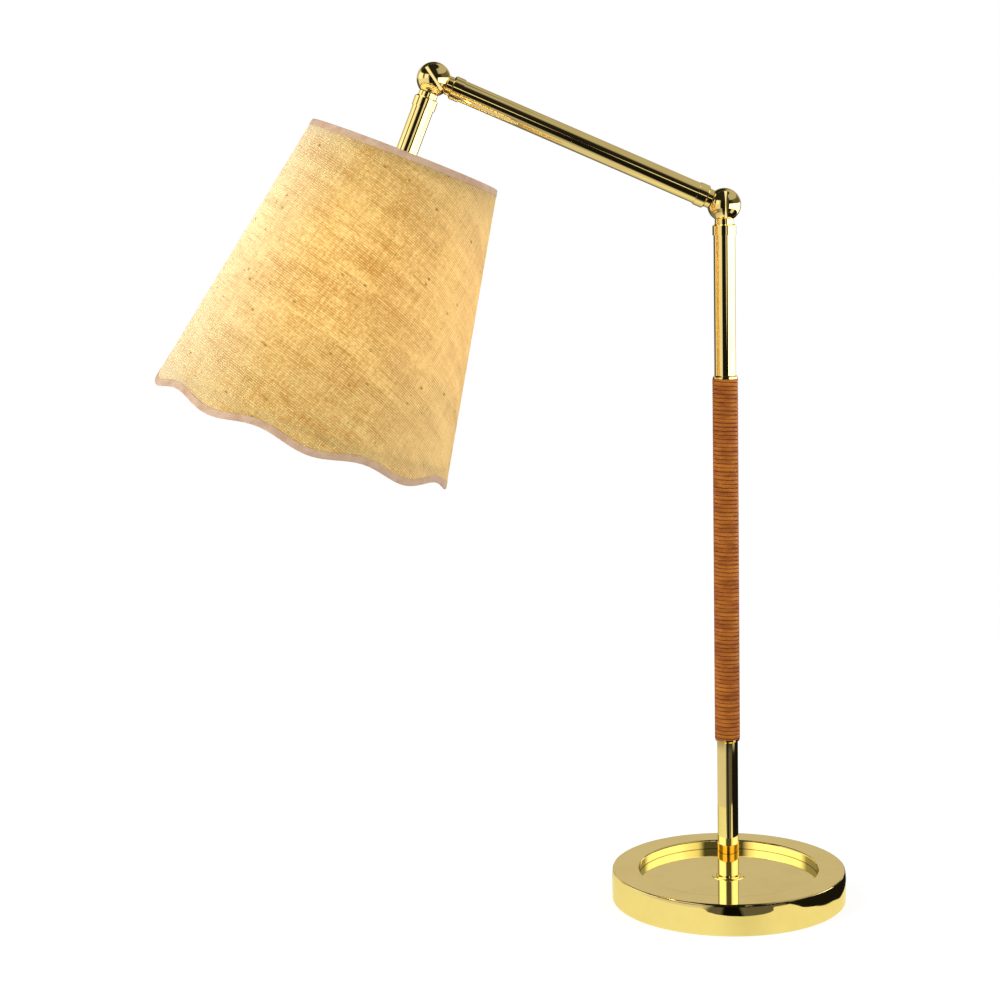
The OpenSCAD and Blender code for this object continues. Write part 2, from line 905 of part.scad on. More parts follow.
base_dish();
base_weight();
base_pad();
cord_bush();
foot_flange();
stem_nipple();
stem_plug();
stem_washer();
stem_nut();
stem_tube();
grip_ring_bottom();
grip_ring_top();
grip_wrap();
stem_collar();
stem_knuckle();
lower_friction_washer();
lower_spring_washer();
stem_lead();
arm_knuckle_lower();
lower_pivot_screw();
arm_collar_lower();
arm_tube();
arm_collar_upper();
arm_knuckle_upper();
upper_friction_washer();
upper_spring_washer();
arm_lead();
drop_knuckle();
upper_pivot_screw();
drop_collar();
drop_tube();
drop_plug();
drop_nipple();
drop_lead();
holder_cap();
holder_insert();
holder_body();
holder_ring();
bulb_cap();
bulb_glass();
shade_spider();
shade_top_wire();
shade_bottom_wire();
shade_cone();
shade_top_trim();
shade_bottom_trim();
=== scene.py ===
"""Looks of the adjustable table lamp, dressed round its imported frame.

Lengths are in metres unless a name ends in mm, and angles are in degrees unless a
docstring says radians. The lamp stands on z = 0, its stem is the z axis, and its
arm reaches to -x.
"""

import logging
import math
from dataclasses import dataclass, field
from enum import Enum

import bpy
from mathutils import Matrix, Vector


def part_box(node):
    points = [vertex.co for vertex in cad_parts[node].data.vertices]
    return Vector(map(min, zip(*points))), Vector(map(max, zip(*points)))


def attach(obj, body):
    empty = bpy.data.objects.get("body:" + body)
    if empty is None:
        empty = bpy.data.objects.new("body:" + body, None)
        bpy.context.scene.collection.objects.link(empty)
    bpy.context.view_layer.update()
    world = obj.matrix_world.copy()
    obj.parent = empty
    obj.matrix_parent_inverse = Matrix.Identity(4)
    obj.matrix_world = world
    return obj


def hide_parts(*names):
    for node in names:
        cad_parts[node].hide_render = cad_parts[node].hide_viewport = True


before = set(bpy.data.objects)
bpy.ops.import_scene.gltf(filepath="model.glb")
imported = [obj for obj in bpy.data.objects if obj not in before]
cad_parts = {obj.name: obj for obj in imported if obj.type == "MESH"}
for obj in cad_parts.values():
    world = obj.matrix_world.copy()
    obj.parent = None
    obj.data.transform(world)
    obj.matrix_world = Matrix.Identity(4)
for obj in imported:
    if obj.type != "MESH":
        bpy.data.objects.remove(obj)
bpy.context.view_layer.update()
LOG = logging.getLogger("table_lamp")
MM = 0.001
PIVOT_LOW = (0.0, 0.0, 0.532)
PIVOT_UP = (-0.21269, 0.0, 0.62714)
SHADE_TILT = 22.2
ARM_LEAN = 90 + 24.1
LEAD_R = 0.0014
WHITE = (1, 1, 1, 1)


class Lay(Enum):
    """The way a metal surface was worked, which sets the run of its marks."""

    TURNED = "turned"
    DRAWN = "drawn"
    BUFFED = "buffed"


# Node trees and meshes


@dataclass(frozen=True)
class Wire:
    """A node's output, which is reckoned with like a number or a place."""

    board: "Board"
    socket: bpy.types.NodeSocket

    def math(self, operation: str, *terms: "Feed") -> "Wire":
        """Works out one step of arithmetic that starts from this value."""
        return self.board.math(operation, self, *terms)

    def __add__(self, term: "Feed") -> "Wire":
        """Adds a term."""
        return self.math("ADD", term)

    def __sub__(self, term: "Feed") -> "Wire":
        """Takes a term away."""
        return self.math("SUBTRACT", term)

    def __rsub__(self, number: float) -> "Wire":
        """Takes this value away from a number."""
        return self.board.math("SUBTRACT", number, self)

    def __mul__(self, term: "Feed") -> "Wire":
        """Multiplies by a term."""
        return self.math("MULTIPLY", term)

    def __truediv__(self, term: "Feed") -> "Wire":
        """Divides by a term."""
        return self.math("DIVIDE", term)

    def __abs__(self) -> "Wire":
        """Drops the sign."""
        return self.math("ABSOLUTE")

    def axes(self) -> tuple["Wire", ...]:
        """Splits a place into its x, y and z."""
        parts = self.board.node("ShaderNodeSeparateXYZ", {"Vector": self}).outputs
        return tuple(Wire(self.board, part) for part in parts)

    def radius(self) -> "Wire":
        """Distance of a place from the z axis."""
        x, y, _ = self.axes()
        return (x * x + y * y).math("SQRT")

    def joined(self, y: "Feed", z: "Feed") -> "Wire":
        """Joins this number, as x, with y and z into a place."""
        return self.board.out("ShaderNodeCombineXYZ", {"X": self, "Y": y, "Z": z})

    def stretched(self, factors: tuple) -> "Wire":
        """Scales a place along each axis, so that a pattern gets a grain."""
        inputs = {"Vector": self, "Vector_001": factors}
        return self.board.out("ShaderNodeVectorMath", inputs, operation="MULTIPLY")

    def leaning(self, lean: float, origin: tuple = (0, 0, 0)) -> "Wire":
        """Gives a place in a frame that leans about y and may start elsewhere."""
        turn = {"Vector": self, "Location": origin, "Rotation": (0, math.radians(lean), 0)}
        return self.board.out("ShaderNodeMapping", turn, vector_type="TEXTURE")

    def remap(self, low: float, high: float, to_low: float = 0, to_high: float = 1) -> "Wire":
        """Maps low to high onto to_low to to_high, and holds it there."""
        ends = {"From Min": low, "From Max": high, "To Min": to_low, "To Max": to_high}
        return self.board.out("ShaderNodeMapRange", {"Value": self, **ends})

    def noise(self, scale: float, detail: float = 2.0, rough: float = 0.5) -> "Wire":
        """Cloudy noise near 0.5: clouds in a metre, finer layers and their strength."""
        inputs = {"Vector": self, "Scale": scale, "Detail": detail, "Roughness": rough}
        return self.board.out("ShaderNodeTexNoise", inputs)

    def cells(self, scale: float) -> "Wire":
        """Distance from this place to the nearest of many scattered points."""
        return self.board.out("ShaderNodeTexVoronoi", {"Vector": self, "Scale": scale})

    def mix(self, first: "Feed", second: "Feed") -> "Wire":
        """Mixes two colours with this value as the second one's share."""
        inputs = {"Factor_Float": self, "A_Color": first, "B_Color": second}
        return self.board.out("ShaderNodeMix", inputs, "Result_Color", data_type="RGBA")

    def bump(self, depth: float, strength: float = 1.0, facing: "Wire | None" = None) -> "Wire":
        """Turns this height into a normal, bumped from the mesh's own or from facing."""
        given = {"Normal": facing} if facing else {}
        relief = {"Strength": strength, "Distance": depth, "Height": self, **given}
        return self.board.out("ShaderNodeBump", relief)

    def ramp(self, stops: list[tuple[float, float]]) -> "Wire":
        """Looks this number, 0 to 1, up in a grey ramp.

        Args:
            stops: Places and their grey values.

        Returns:
            The colour.
        """
        node = self.board.node("ShaderNodeValToRGB", {"Fac": self})
        elements = node.color_ramp.elements
        while len(elements) > 1:
            elements.remove(elements[-1])
        elements[0].position = stops[0][0]
        for place, _ in stops[1:]:
            elements.new(place)
        for element, (_, grey) in zip(elements, stops):
            element.color = (grey,) * 3 + (1,)
        return Wire(self.board, node.outputs["Color"])


@dataclass
class Board:
    """A node tree on the bench, with short ways to add nodes and wire them."""

    tree: bpy.types.NodeTree

    @classmethod
    def cleared(cls, owner: bpy.types.Material | bpy.types.World) -> "Board":
        """Opens the node tree of a material or a world, and empties it.

        Args:
            owner: The material or world.

        Returns:
            Its tree.
        """
        owner.use_nodes = True
        owner.node_tree.nodes.clear()
        return cls(owner.node_tree)

    def feed(self, socket: bpy.types.NodeSocket, value: "Feed") -> None:
        """Wires an output into a socket, or sets the socket's own value.

        Args:
            socket: The input that is fed.
            value: Another node's output, or a plain value.
        """
        if isinstance(value, Wire):
            self.tree.links.new(value.socket, socket)
        else:
            socket.default_value = value

    def node(
        self, kind: str, inputs: "dict[str, Feed] | None" = None, **settings: "Feed"
    ) -> bpy.types.Node:
        """Adds one node.

        Args:
            kind: The node's type name.
            inputs: Values or outputs by the identifier of the input.
            **settings: Properties of the node, set before its inputs.

        Returns:
            The new node.
        """
        node = self.tree.nodes.new(kind)
        for name, value in settings.items():
            setattr(node, name, value)
        by_identifier = {socket.identifier: socket for socket in node.inputs}
        for identifier, value in (inputs or {}).items():
            self.feed(by_identifier[identifier], value)
        return node

    def out(
        self, kind: str, inputs: "dict[str, Feed] | None" = None, pick: str = "", **settings: "Feed"
    ) -> Wire:
        """Adds one node and takes its first output, or the one with an identifier."""
        outputs = self.node(kind, inputs, **settings).outputs
        return Wire(self, next(out for out in outputs if pick in ("", out.identifier)))

    def math(self, operation: str, *terms: "Feed") -> Wire:
        """Works out one step of arithmetic with one or two terms."""
        inputs = dict(zip(("Value", "Value_001"), terms))
        return self.out("ShaderNodeMath", inputs, operation=operation)

    def principled(self, **inputs: "Feed") -> Wire:
        """Makes a plain surface; an underscore in a name stands for a space."""
        named = {name.replace("_", " "): value for name, value in inputs.items()}
        return self.out("ShaderNodeBsdfPrincipled", named)

    def lit(self, kind: str, colour: "Feed", strength: float) -> Wire:
        """Makes a shader that shines."""
        return self.out(kind, {"Color": colour, "Strength": strength})

    def blend(self, share: "Feed", first: Wire, second: Wire) -> Wire:
        """Blends two shaders by the second one's share."""
        inputs = {"Fac": share, "Shader": first, "Shader_001": second}
        return self.out("ShaderNodeMixShader", inputs)


Feed = Wire | float | int | bool | str | tuple | bpy.types.ID


def shaded_smooth(mesh: bpy.types.Mesh) -> None:
    """Shades every face of a mesh smooth."""
    mesh.polygons.foreach_set("use_smooth", [True] * len(mesh.polygons))


def piece_from(name: str, mesh: bpy.types.Mesh) -> bpy.types.Object:
    """Puts a mesh into the scene at the origin.

    Args:
        name: The piece's name.
        mesh: Its mesh, already in the frame's place.

    Returns:
        The piece.
    """
    piece = bpy.data.objects.new(name, mesh)
    bpy.context.scene.collection.objects.link(piece)
    return piece


def baked(piece: bpy.types.Object, modifier: bpy.types.Modifier) -> bpy.types.Mesh:
    """Runs a piece's modifier, takes it off again and keeps what came out.

    Args:
        piece: The piece.
        modifier: Its only modifier.

    Returns:
        The new mesh.
    """
    graph = bpy.context.evaluated_depsgraph_get()
    mesh = bpy.data.meshes.new_from_object(piece.evaluated_get(graph), depsgraph=graph)
    piece.modifiers.remove(modifier)
    return mesh


def on_circle(angle: float, radius: float) -> tuple[float, float]:
    """The two sides, cosine first, of a point on a circle."""
    return radius * math.cos(math.radians(angle)), radius * math.sin(math.radians(angle))


def lathe(name: str, outline: list[tuple[float, float]], steps: int) -> bpy.types.Object:
    """Turns a closed outline round the z axis.

    Args:
        name: The piece's name.
        outline: (radius, height) pairs, clockwise seen from -y.
        steps: How many sides the round has.

    Returns:
        The piece, closed, with its faces outward.
    """
    points, faces, count = [], [], len(outline)
    for step in range(steps):
        points += [(*on_circle(360 * step / steps, r), z) for r, z in outline]
        here, there = step * count, (step + 1) % steps * count
        for k in range(count):
            after = (k + 1) % count
            faces.append((here + k, here + after, there + after, there + k))
    mesh = bpy.data.meshes.new(name)
    mesh.from_pydata(points, [], faces)
    mesh.validate()
    return piece_from(name, mesh)


@dataclass
class Grown:
    """A geometry tree with named sizes, grown into a plain mesh."""

    name: str
    sizes: dict[str, float | int]
    board: Board = field(init=False)
    given: dict[str, Wire] = field(init=False)

    def __post_init__(self) -> None:
        """Opens the tree with one named input for each size."""
        tree = bpy.data.node_groups.new(self.name, "GeometryNodeTree")
        rows = [("Geometry", "INPUT", "Geometry")]
        for name, size in self.sizes.items():
            rows.append((name, "INPUT", "Int" if isinstance(size, int) else "Float"))
        for name, way, kind in (*rows, ("Geometry", "OUTPUT", "Geometry")):
            tree.interface.new_socket(name, in_out=way, socket_type="NodeSocket" + kind)
        self.board = Board(tree)
        entry = self.board.node("NodeGroupInput").outputs
        self.given = {out.name: Wire(self.board, out) for out in entry if out.name}

    def grow(
        self, shape: Wire, finish: bpy.types.Material, seed: bpy.types.Mesh | None = None
    ) -> bpy.types.Object:
        """Ends the tree, runs it and keeps its result as a plain mesh.

        Args:
            shape: The geometry that the tree has made.
            finish: The material that it gets.
            seed: The mesh that the tree starts from, if it needs one.

        Returns:
            The piece, with no modifier left on it.
        """
        board, start = self.board, self.name + "_start"
        real = board.out("GeometryNodeRealizeInstances", {"Geometry": shape})
        dressed = board.out("GeometryNodeSetMaterial", {"Geometry": real, "Material": finish})
        board.feed(board.node("NodeGroupOutput").inputs[0], dressed)
        carrier = piece_from(start, seed or bpy.data.meshes.new(start))
        modifier = carrier.modifiers.new(self.name, "NODES")
        modifier.node_group = board.tree
        for item in board.tree.interface.items_tree:
            if item.in_out == "INPUT" and item.name in self.sizes:
                modifier[item.identifier] = self.sizes[item.name]
        mesh = baked(carrier, modifier)
        bpy.data.objects.remove(carrier)
        mesh.name = self.name
        shaded_smooth(mesh)
        return piece_from(self.name, mesh)


# Finishes


@dataclass(frozen=True)
class Finish:
    """What every finish shares: a name, and nodes that make its surface."""

    name: str

    def surface(self, place: Wire) -> Wire:
        """Builds the surface.

        Args:
            place: Object coordinates, in the material's tree.

        Returns:
            The shader.
        """
        raise NotImplementedError

    def material(self) -> bpy.types.Material:
        """Makes the material once and hands out the same one after that.

        Returns:
            The material.
        """
        made = bpy.data.materials.get(self.name)
        if not made:
            made = bpy.data.materials.new(self.name)
            board = Board.cleared(made)
            place = board.out("ShaderNodeTexCoord", pick="Object")
            board.node("ShaderNodeOutputMaterial", {"Surface": self.surface(place)})
        return made


@dataclass(frozen=True)
class PolishedBrass(Finish):
    """Lacquered yellow brass, buffed bright, with the faint marks of how it was worked."""

    lay: Lay = Lay.BUFFED
    lean: float = 0.0
    colour: tuple = (0.90, 0.70, 0.27, 1)
    toned: tuple = (0.86, 0.64, 0.23, 1)
    glint: tuple = (0.97, 0.9, 0.72, 1)
    smooth: float = 0.03
    dull: float = 0.08
    relief: float = 0.000004

    def marks(self, place: Wire) -> Wire:
        """The polishing marks, drawn out along the way the metal was worked.

        Args:
            place: Object coordinates.

        Returns:
            Noise with the marks' grain.
        """
        if self.lay is Lay.TURNED:
            return place.radius().joined(0.0, place.axes()[2]).noise(2600, 3.0, 0.65)
        if self.lay is Lay.DRAWN:
            return place.leaning(self.lean).stretched((1, 1, 0.02)).noise(2200, 3.0, 0.6)
        return place.stretched((1, 0.2, 1)).noise(1600, 3.0, 0.6)

    def tone(self, place: Wire, handled: Wire) -> Wire:
        """The metal's colour at a place, from noise that says how much it was handled."""
        return handled.remap(0.42, 0.75).mix(self.colour, self.toned)

    def facing(self, place: Wire) -> Wire | None:
        """The way the metal faces, or nothing where the mesh's own normal is right."""
        return None

    def surface(self, place: Wire) -> Wire:
        """Bright metal, toned a little where it was handled. See Finish.surface."""
        marks = self.marks(place)
        handled = place.noise(34, 4.0, 0.6)
        smears = handled.remap(0.35, 0.75) * marks.remap(0.3, 0.7, 0.55, 1)
        return place.board.principled(
            Base_Color=self.tone(place, handled),
            Metallic=1.0,
            Roughness=smears.remap(0, 1, self.smooth, self.dull),
            Specular_Tint=self.glint,
            Normal=marks.bump(self.relief, 0.1, self.facing(place)),
        )


@dataclass(frozen=True)
class DishBrass(PolishedBrass):
    """Turned brass with a painted dark line of shade in its recess's corner.

    Its side swells outwards in an arc of swell_r, which starts upright at swell_low.
    The mesh follows the arc in bands, so the arc's own normal is worked out here.
    """

    corner_r: float = 0.069
    corner_z: float = 0.0175
    line: float = 0.0004
    ragged: float = 0.0003
    # Colour of the painted shade line in the recess's corner.
    corner_shade_colour: tuple = (0.30, 0.19, 0.05, 1)
    swell_r: float = 0.05103
    swell_low: float = 0.0155
    swell_high: float = 0.02366
    side_r: float = 0.0875

    def tone(self, place: Wire, handled: Wire) -> Wire:
        """Toned brass with the corner's painted shade line. See PolishedBrass.tone."""
        metal = super().tone(place, handled)
        out = abs(place.radius() - self.corner_r)
        up = abs(place.axes()[2] - self.corner_z)
        reach = out + up + place.noise(300) * self.ragged
        # The dark line in the corner is painted shade, mixed over the metal.
        return reach.remap(self.line, 2 * self.line, 0.8, 0).mix(metal, self.corner_shade_colour)

    def facing(self, place: Wire) -> Wire:
        """Makes the side's swell face along its true curve. See PolishedBrass.facing."""
        x, y, z = place.axes()
        radius = place.radius()
        rise = (z - self.swell_low) * (1 / self.swell_r)
        out = (1.0 - rise * rise).math("SQRT") / radius
        curved = (x * out).joined(y * out, rise)
        mesh = place.board.out("ShaderNodeNewGeometry", pick="Normal")
        within = z.math("GREATER_THAN", self.swell_low) * z.math("LESS_THAN", self.swell_high)
        return (within * radius.math("GREATER_THAN", self.side_r)).mix(mesh, curved)


@dataclass(frozen=True)
class StripLeather(Finish):
    """Tan saddle leather cut in a narrow strip, with dark skived edges."""

    tan: tuple = (0.45, 0.140, 0.013, 1)
    deep: tuple = (0.26, 0.062, 0.004, 1)
    edge: tuple = (0.13, 0.030, 0.004, 1)
    smooth: float = 0.42
    dull: float = 0.62
    relief: float = 0.00012

    def hide(self, place: Wire) -> Wire:
        """The hide's colour, cloudy and a little different from turn to turn."""
        clouds = place.stretched((1, 1, 2.2)).noise(90, 4.0, 0.6)
        turns = place.stretched((0.15, 0.15, 1)).noise(330, 1.0)
        return (clouds + turns).remap(0.75, 1.25).mix(self.tan, self.deep)

    def surface(self, place: Wire) -> Wire:
        """Pored, creased leather, darker at its cut edges. See Finish.surface."""
        across = place.board.out("ShaderNodeAttribute", pick="Fac", attribute_name="across")
        ragged = abs(across) + place.noise(1300) * 0.16
        tight = place.stretched((0.5, 0.5, 1)).noise(260).remap(0.38, 0.62, 0.45, 1)
        cut = ragged.remap(0.86, 1.04) * tight
        pores = place.cells(2600).remap(0.0, 0.45)
        creases = place.stretched((1, 1, 1.8)).noise(900, 5.0, 0.65)
        return place.board.principled(
            Base_Color=cut.mix(self.hide(place), self.edge),
            Roughness=creases.remap(0.3, 0.7, self.smooth, self.dull),
            Specular_IOR_Level=0.26,
            Normal=(pores * 0.5 + creases).bump(self.relief, 0.6),
        )


@dataclass(frozen=True)
class Weave:
    """What is known of one spot of the woven cloth, laid flat.

    It holds the distances along straws and warp, the angle from the cloth's middle in
    radians, how far the spot lies from the gaps between threads, noise, and the tone.
    """

    along: Wire
    down: Wire
    around: Wire
    straw: Wire
    warp: Wire
    streak: Wire
    column: Wire
    patch: Wire
    fine: Wire
    broad: Wire
    mottle: Wire


@dataclass(frozen=True)
class Raffia(Finish):
    """Raffia straw woven flat on a fine warp, then cut and bent into a cone."""

    apex: float = 0.3085
    half_angle: float = 11.08
    straw: float = 0.00152
    warp: float = 0.0016
    straw_sway: float = 0.0012
    warp_sway: float = 0.0008
    pale: tuple = (0.93, 0.76, 0.34, 1)
    warm: tuple = (0.69, 0.405, 0.105, 1)
    # Pale and warm colours of the painted light on either side of the shade.
    pale_painted_light: tuple = (0.98, 0.91, 0.70, 1)
    warm_painted_light: tuple = (0.95, 0.74, 0.38, 1)
    thread: tuple = (0.24, 0.10, 0.015, 1)
    knot: tuple = (0.22, 0.11, 0.025, 1)
    seam: tuple = (math.pi - 0.045, math.pi - 0.04)
    tone_band: tuple = (0.38, 0.62)
    relief: float = 0.00035

    def weave(self, place: Wire) -> Weave:
        """Lays the cone out flat and finds the threads, the noise and the tone there.

        Args:
            place: Object coordinates.

        Returns:
            What is known of the spot.
        """
        x, y, z = place.leaning(SHADE_TILT, PIVOT_UP).axes()
        angle = (y * -1.0).math("ARCTAN2", x * -1.0)
        slant = (self.apex - z) * (1 / math.cos(math.radians(self.half_angle)))
        fan = angle * math.sin(math.radians(self.half_angle))
        along, down = (slant * fan.math(side) for side in ("SINE", "COSINE"))
        sway = along.joined(down, 0.0).noise(30) - 0.5
        row = (down + sway * self.straw_sway) * (1 / self.straw)
        line = (along + sway * self.warp_sway) * (1 / self.warp)
        straw, warp = (abs((count * math.pi).math("SINE")) for count in (row, line))
        square = row.math("FLOOR").joined(line.math("FLOOR"), 0.0)
        single = place.board.out("ShaderNodeTexWhiteNoise", {"Vector": square})
        streak = (along * 0.05).joined(down, 0.0).noise(640, 3.0, 0.75)
        column = along.joined(down * 0.05, 0.6).noise(480, 2.0, 0.6)
        patch = (along * 0.22).joined(down, 0.4).noise(70, 3.0, 0.6)
        fine = (along * 0.25).joined(down, 0.3).noise(1500)
        broad = streak * 0.52 + column * 0.20 + patch * 0.28
        mottle = broad + (single - 0.5) * 0.16
        noise = (streak, column, patch, fine)
        return Weave(along, down, abs(angle), straw, warp, *noise, broad, mottle)

    def nubs(self, spot: Weave, spacing: float, seed: float) -> Wire:
        """Small dark joints scattered along the straws, 0 to 1."""
        near = (spot.along * 0.7).joined(spot.down, seed).cells(1 / spacing).remap(0.04, 0.16, 1, 0)
        return near * spot.along.joined(spot.down, seed).noise(42, 1.0).remap(0.46, 0.54)

    def fibre(self, spot: Weave) -> Wire:
        """The straw's colour, with painted light: paler on the side away from the stem and warmer
        on the side towards it.

        Args:
            spot: What is known of the spot.

        Returns:
            The colour.
        """
        # Painted light: the side away from the stem is painted paler, the side towards it warmer.
        painted_light_share = spot.around.remap(0.25, 1.2, 0.7, 0) * spot.broad.remap(0.42, 0.56, 0.6, 1)
        straw = spot.mottle.remap(*self.tone_band).mix(self.warm, self.pale)
        straw = spot.around.remap(1.75, 2.5, 0, 0.6).mix(straw, self.warm_painted_light)
        return painted_light_share.mix(straw, self.pale_painted_light)

    def gaps(self, spot: Weave) -> Wire:
        """The dark grid of gaps between straws and between warp threads.

        Args:
            spot: What is known of the spot.

        Returns:
            How dark the spot is, 0 to 1.
        """
        gap = spot.straw.remap(0.05, 0.75, 0.85, 0) * spot.fine.remap(0.3, 0.6, 0.7, 1)
        cross = spot.warp.remap(0.05, 0.65, 0.85, 0) * spot.column.remap(0.35, 0.6, 1, 0.35)
        grid = gap.math("MAXIMUM", cross) * spot.patch.remap(0.36, 0.60, 1.0, 0.55)
        ridge = spot.streak.remap(0.30, 0.38, 0.8, 0)
        # The grid fades towards the side away from the stem, together with the painted light there.
        return (grid * spot.around.remap(0.1, 0.9, 0.25, 1)).math("MAXIMUM", ridge * 0.7)

    def surface(self, place: Wire) -> Wire:
        """Straws over and under a fine warp, lit through from inside. See Finish.surface."""
        spot = self.weave(place)
        grid = self.gaps(spot)
        fleck = self.nubs(spot, 0.0085, 0.0).math("MAXIMUM", self.nubs(spot, 0.0042, 0.9) * 0.7)
        seam = spot.around.remap(*self.seam)
        colour = grid.mix(self.fibre(spot), self.thread)
        for share in (fleck * 0.88, seam * 0.35):
            colour = share.mix(colour, self.knot)
        height = spot.straw * 0.7 + spot.warp * 0.3 + spot.streak * 0.4 + fleck + seam
        normal = height.bump(self.relief, 0.45)
        straw = place.board.principled(
            Base_Color=colour,
            Roughness=spot.fine.remap(0.3, 0.7, 0.6, 0.85),
            Specular_IOR_Level=0.12,
            Normal=normal,
        )
        lit = {"Color": colour, "Normal": normal}
        through = place.board.out("ShaderNodeBsdfTranslucent", lit)
        lets = spot.mottle.remap(*self.tone_band, 0.34, 0.60) * grid.remap(0, 0.85, 1, 0.45)
        return place.board.blend(lets, straw, through)


@dataclass(frozen=True)
class Liner(Finish):
    """The stiff paper liner that the straw is glued to, seen inside the shade."""

    white: tuple = (0.86, 0.83, 0.76, 1)
    aged: tuple = (0.80, 0.74, 0.62, 1)
    relief: float = 0.0001
    lets: float = 0.45

    def surface(self, place: Wire) -> Wire:
        """Pale paper that lets the light through. See Finish.surface."""
        fibres = place.noise(1500, 3.0, 0.7)
        colour = place.noise(40, 4.0).remap(0.4, 0.7).mix(self.white, self.aged)
        paper = place.board.principled(
            Base_Color=colour,
            Roughness=fibres.remap(0.3, 0.7, 0.5, 0.65),
            Normal=fibres.bump(self.relief, 0.3),
        )
        through = place.board.out("ShaderNodeBsdfTranslucent", {"Color": colour})
        return place.board.blend(self.lets, paper, through)


@dataclass(frozen=True)
class BiasTape(Finish):
    """Cotton tape cut on the bias and folded over the shade's edge."""

    pale: tuple = (0.70, 0.50, 0.34, 1)
    shade: tuple = (0.58, 0.37, 0.23, 1)
    turn_threads: float = 180.0
    down_threads: float = 6200.0
    relief: float = 0.0002
    lets: float = 0.25

    def surface(self, place: Wire) -> Wire:
        """Fine slanting threads with soft puckers. See Finish.surface."""
        x, y, z = place.leaning(SHADE_TILT, PIVOT_UP).axes()
        angle = y.math("ARCTAN2", x)
        turn, drop = angle * self.turn_threads, z * self.down_threads
        threads = (turn + drop).math("SINE") * (turn - drop).math("SINE")
        clouds = place.noise(120, 3.0) + threads * 0.08
        fuzz = place.noise(2600)
        colour = clouds.remap(0.35, 0.7).mix(self.pale, self.shade)
        puckers = angle.joined(z * 0.2, 0.0).noise(60)
        cotton = place.board.principled(
            Base_Color=colour,
            Roughness=fuzz.remap(0.3, 0.7, 0.75, 0.9),
            Specular_IOR_Level=0.2,
            Sheen_Weight=0.15,
            Normal=(threads * 0.25 + fuzz * 0.4 + puckers).bump(self.relief, 0.5),
        )
        through = place.board.out("ShaderNodeBsdfTranslucent", {"Color": colour})
        return place.board.blend(self.lets, cotton, through)


@dataclass(frozen=True)
class Grained(Finish):
    """A plain workshop material: two tones, a range of roughness, a grain and a relief."""

    colour: tuple
    toned: tuple
    rough: tuple
    grain: float
    relief: float
    metallic: float = 0.0
    stretch: tuple = (1, 1, 1)
    sheen: float = 0.0
    coat: float = 0.0

    def surface(self, place: Wire) -> Wire:
        """Cloudy tone over a fine grain. See Finish.surface."""
        grain = place.stretched(self.stretch).noise(self.grain, 4.0, 0.65)
        tone = place.noise(60, 4.0, 0.6) * 0.6 + grain * 0.4
        return place.board.principled(
            Base_Color=tone.remap(0.38, 0.64).mix((*self.colour, 1), (*self.toned, 1)),
            Metallic=self.metallic,
            Roughness=grain.remap(0.3, 0.7, *self.rough),
            Sheen_Weight=self.sheen,
            Coat_Weight=self.coat,
            Normal=grain.bump(self.relief, 0.6),
        )


@dataclass(frozen=True)
class OpalGlass(Finish):
    """Warm frosted lamp glass, lit from inside."""

    white: tuple = (0.92, 0.90, 0.86, 1)
    milky: tuple = (0.88, 0.85, 0.79, 1)
    lit: tuple = (1.0, 0.80, 0.50, 1)
    glow: float = 13.0

    def surface(self, place: Wire) -> Wire:
        """Soft white coating that glows, a little uneven. See Finish.surface."""
        coating = place.noise(55, 3.0)
        return place.board.principled(
            Base_Color=coating.remap(0.35, 0.65).mix(self.white, self.milky),
            Roughness=coating.remap(0.3, 0.7, 0.18, 0.3),
            Coat_Weight=0.4,
            Coat_Roughness=0.05,
            Emission_Color=self.lit,
            Emission_Strength=self.glow,
        )


BRASS_DISH = DishBrass("brass_dish", Lay.TURNED)
BRASS_TURNED = PolishedBrass("brass_turned", Lay.TURNED)
BRASS_STEM = PolishedBrass("brass_stem", Lay.DRAWN)
BRASS_ARM = PolishedBrass("brass_arm", Lay.DRAWN, ARM_LEAN)
BRASS_DROP = PolishedBrass("brass_drop", Lay.DRAWN, SHADE_TILT)
BRASS_BUFFED = PolishedBrass("brass_buffed")
LEATHER = StripLeather("leather_strip")
RAFFIA = Raffia("raffia_straw")
LINER = Liner("shade_liner")
TAPE = BiasTape("bias_tape")
OPAL = OpalGlass("opal_glass")
FELT = Grained(
    "wool_felt", (0.035, 0.05, 0.04), (0.06, 0.075, 0.06), (0.85, 0.98), 1900, 0.0005, sheen=0.5
)
CAST_IRON = Grained(
    "cast_iron_paint", (0.03, 0.03, 0.032), (0.06, 0.055, 0.05), (0.45, 0.75), 420, 0.0006, 0.2
)
ZINC = Grained(
    "zinc_steel", (0.62, 0.63, 0.64), (0.48, 0.49, 0.50), (0.22, 0.38), 1400, 0.00003, 1.0,
    stretch=(1, 1, 0.3),
)
PHENOLIC = Grained(
    "black_phenolic", (0.012, 0.012, 0.013), (0.022, 0.020, 0.019), (0.28, 0.42), 900, 0.00003,
    coat=0.2,
)
PORCELAIN = Grained(
    "glazed_porcelain", (0.86, 0.85, 0.82), (0.80, 0.78, 0.73), (0.12, 0.22), 300, 0.00004,
    coat=0.6,
)
FIBRE = Grained(
    "red_fibre", (0.28, 0.05, 0.03), (0.20, 0.035, 0.02), (0.6, 0.8), 2200, 0.00008
)
RUBBER = Grained(
    "black_rubber", (0.018, 0.018, 0.018), (0.03, 0.03, 0.03), (0.55, 0.72), 800, 0.00006
)
SLEEVE = Grained(
    "white_sleeve", (0.80, 0.79, 0.76), (0.70, 0.69, 0.65), (0.38, 0.52), 1200, 0.00003
)
CAP_METAL = Grained(
    "bulb_cap_metal", (0.74, 0.72, 0.68), (0.60, 0.58, 0.54), (0.25, 0.42), 1300, 0.00003, 1.0
)


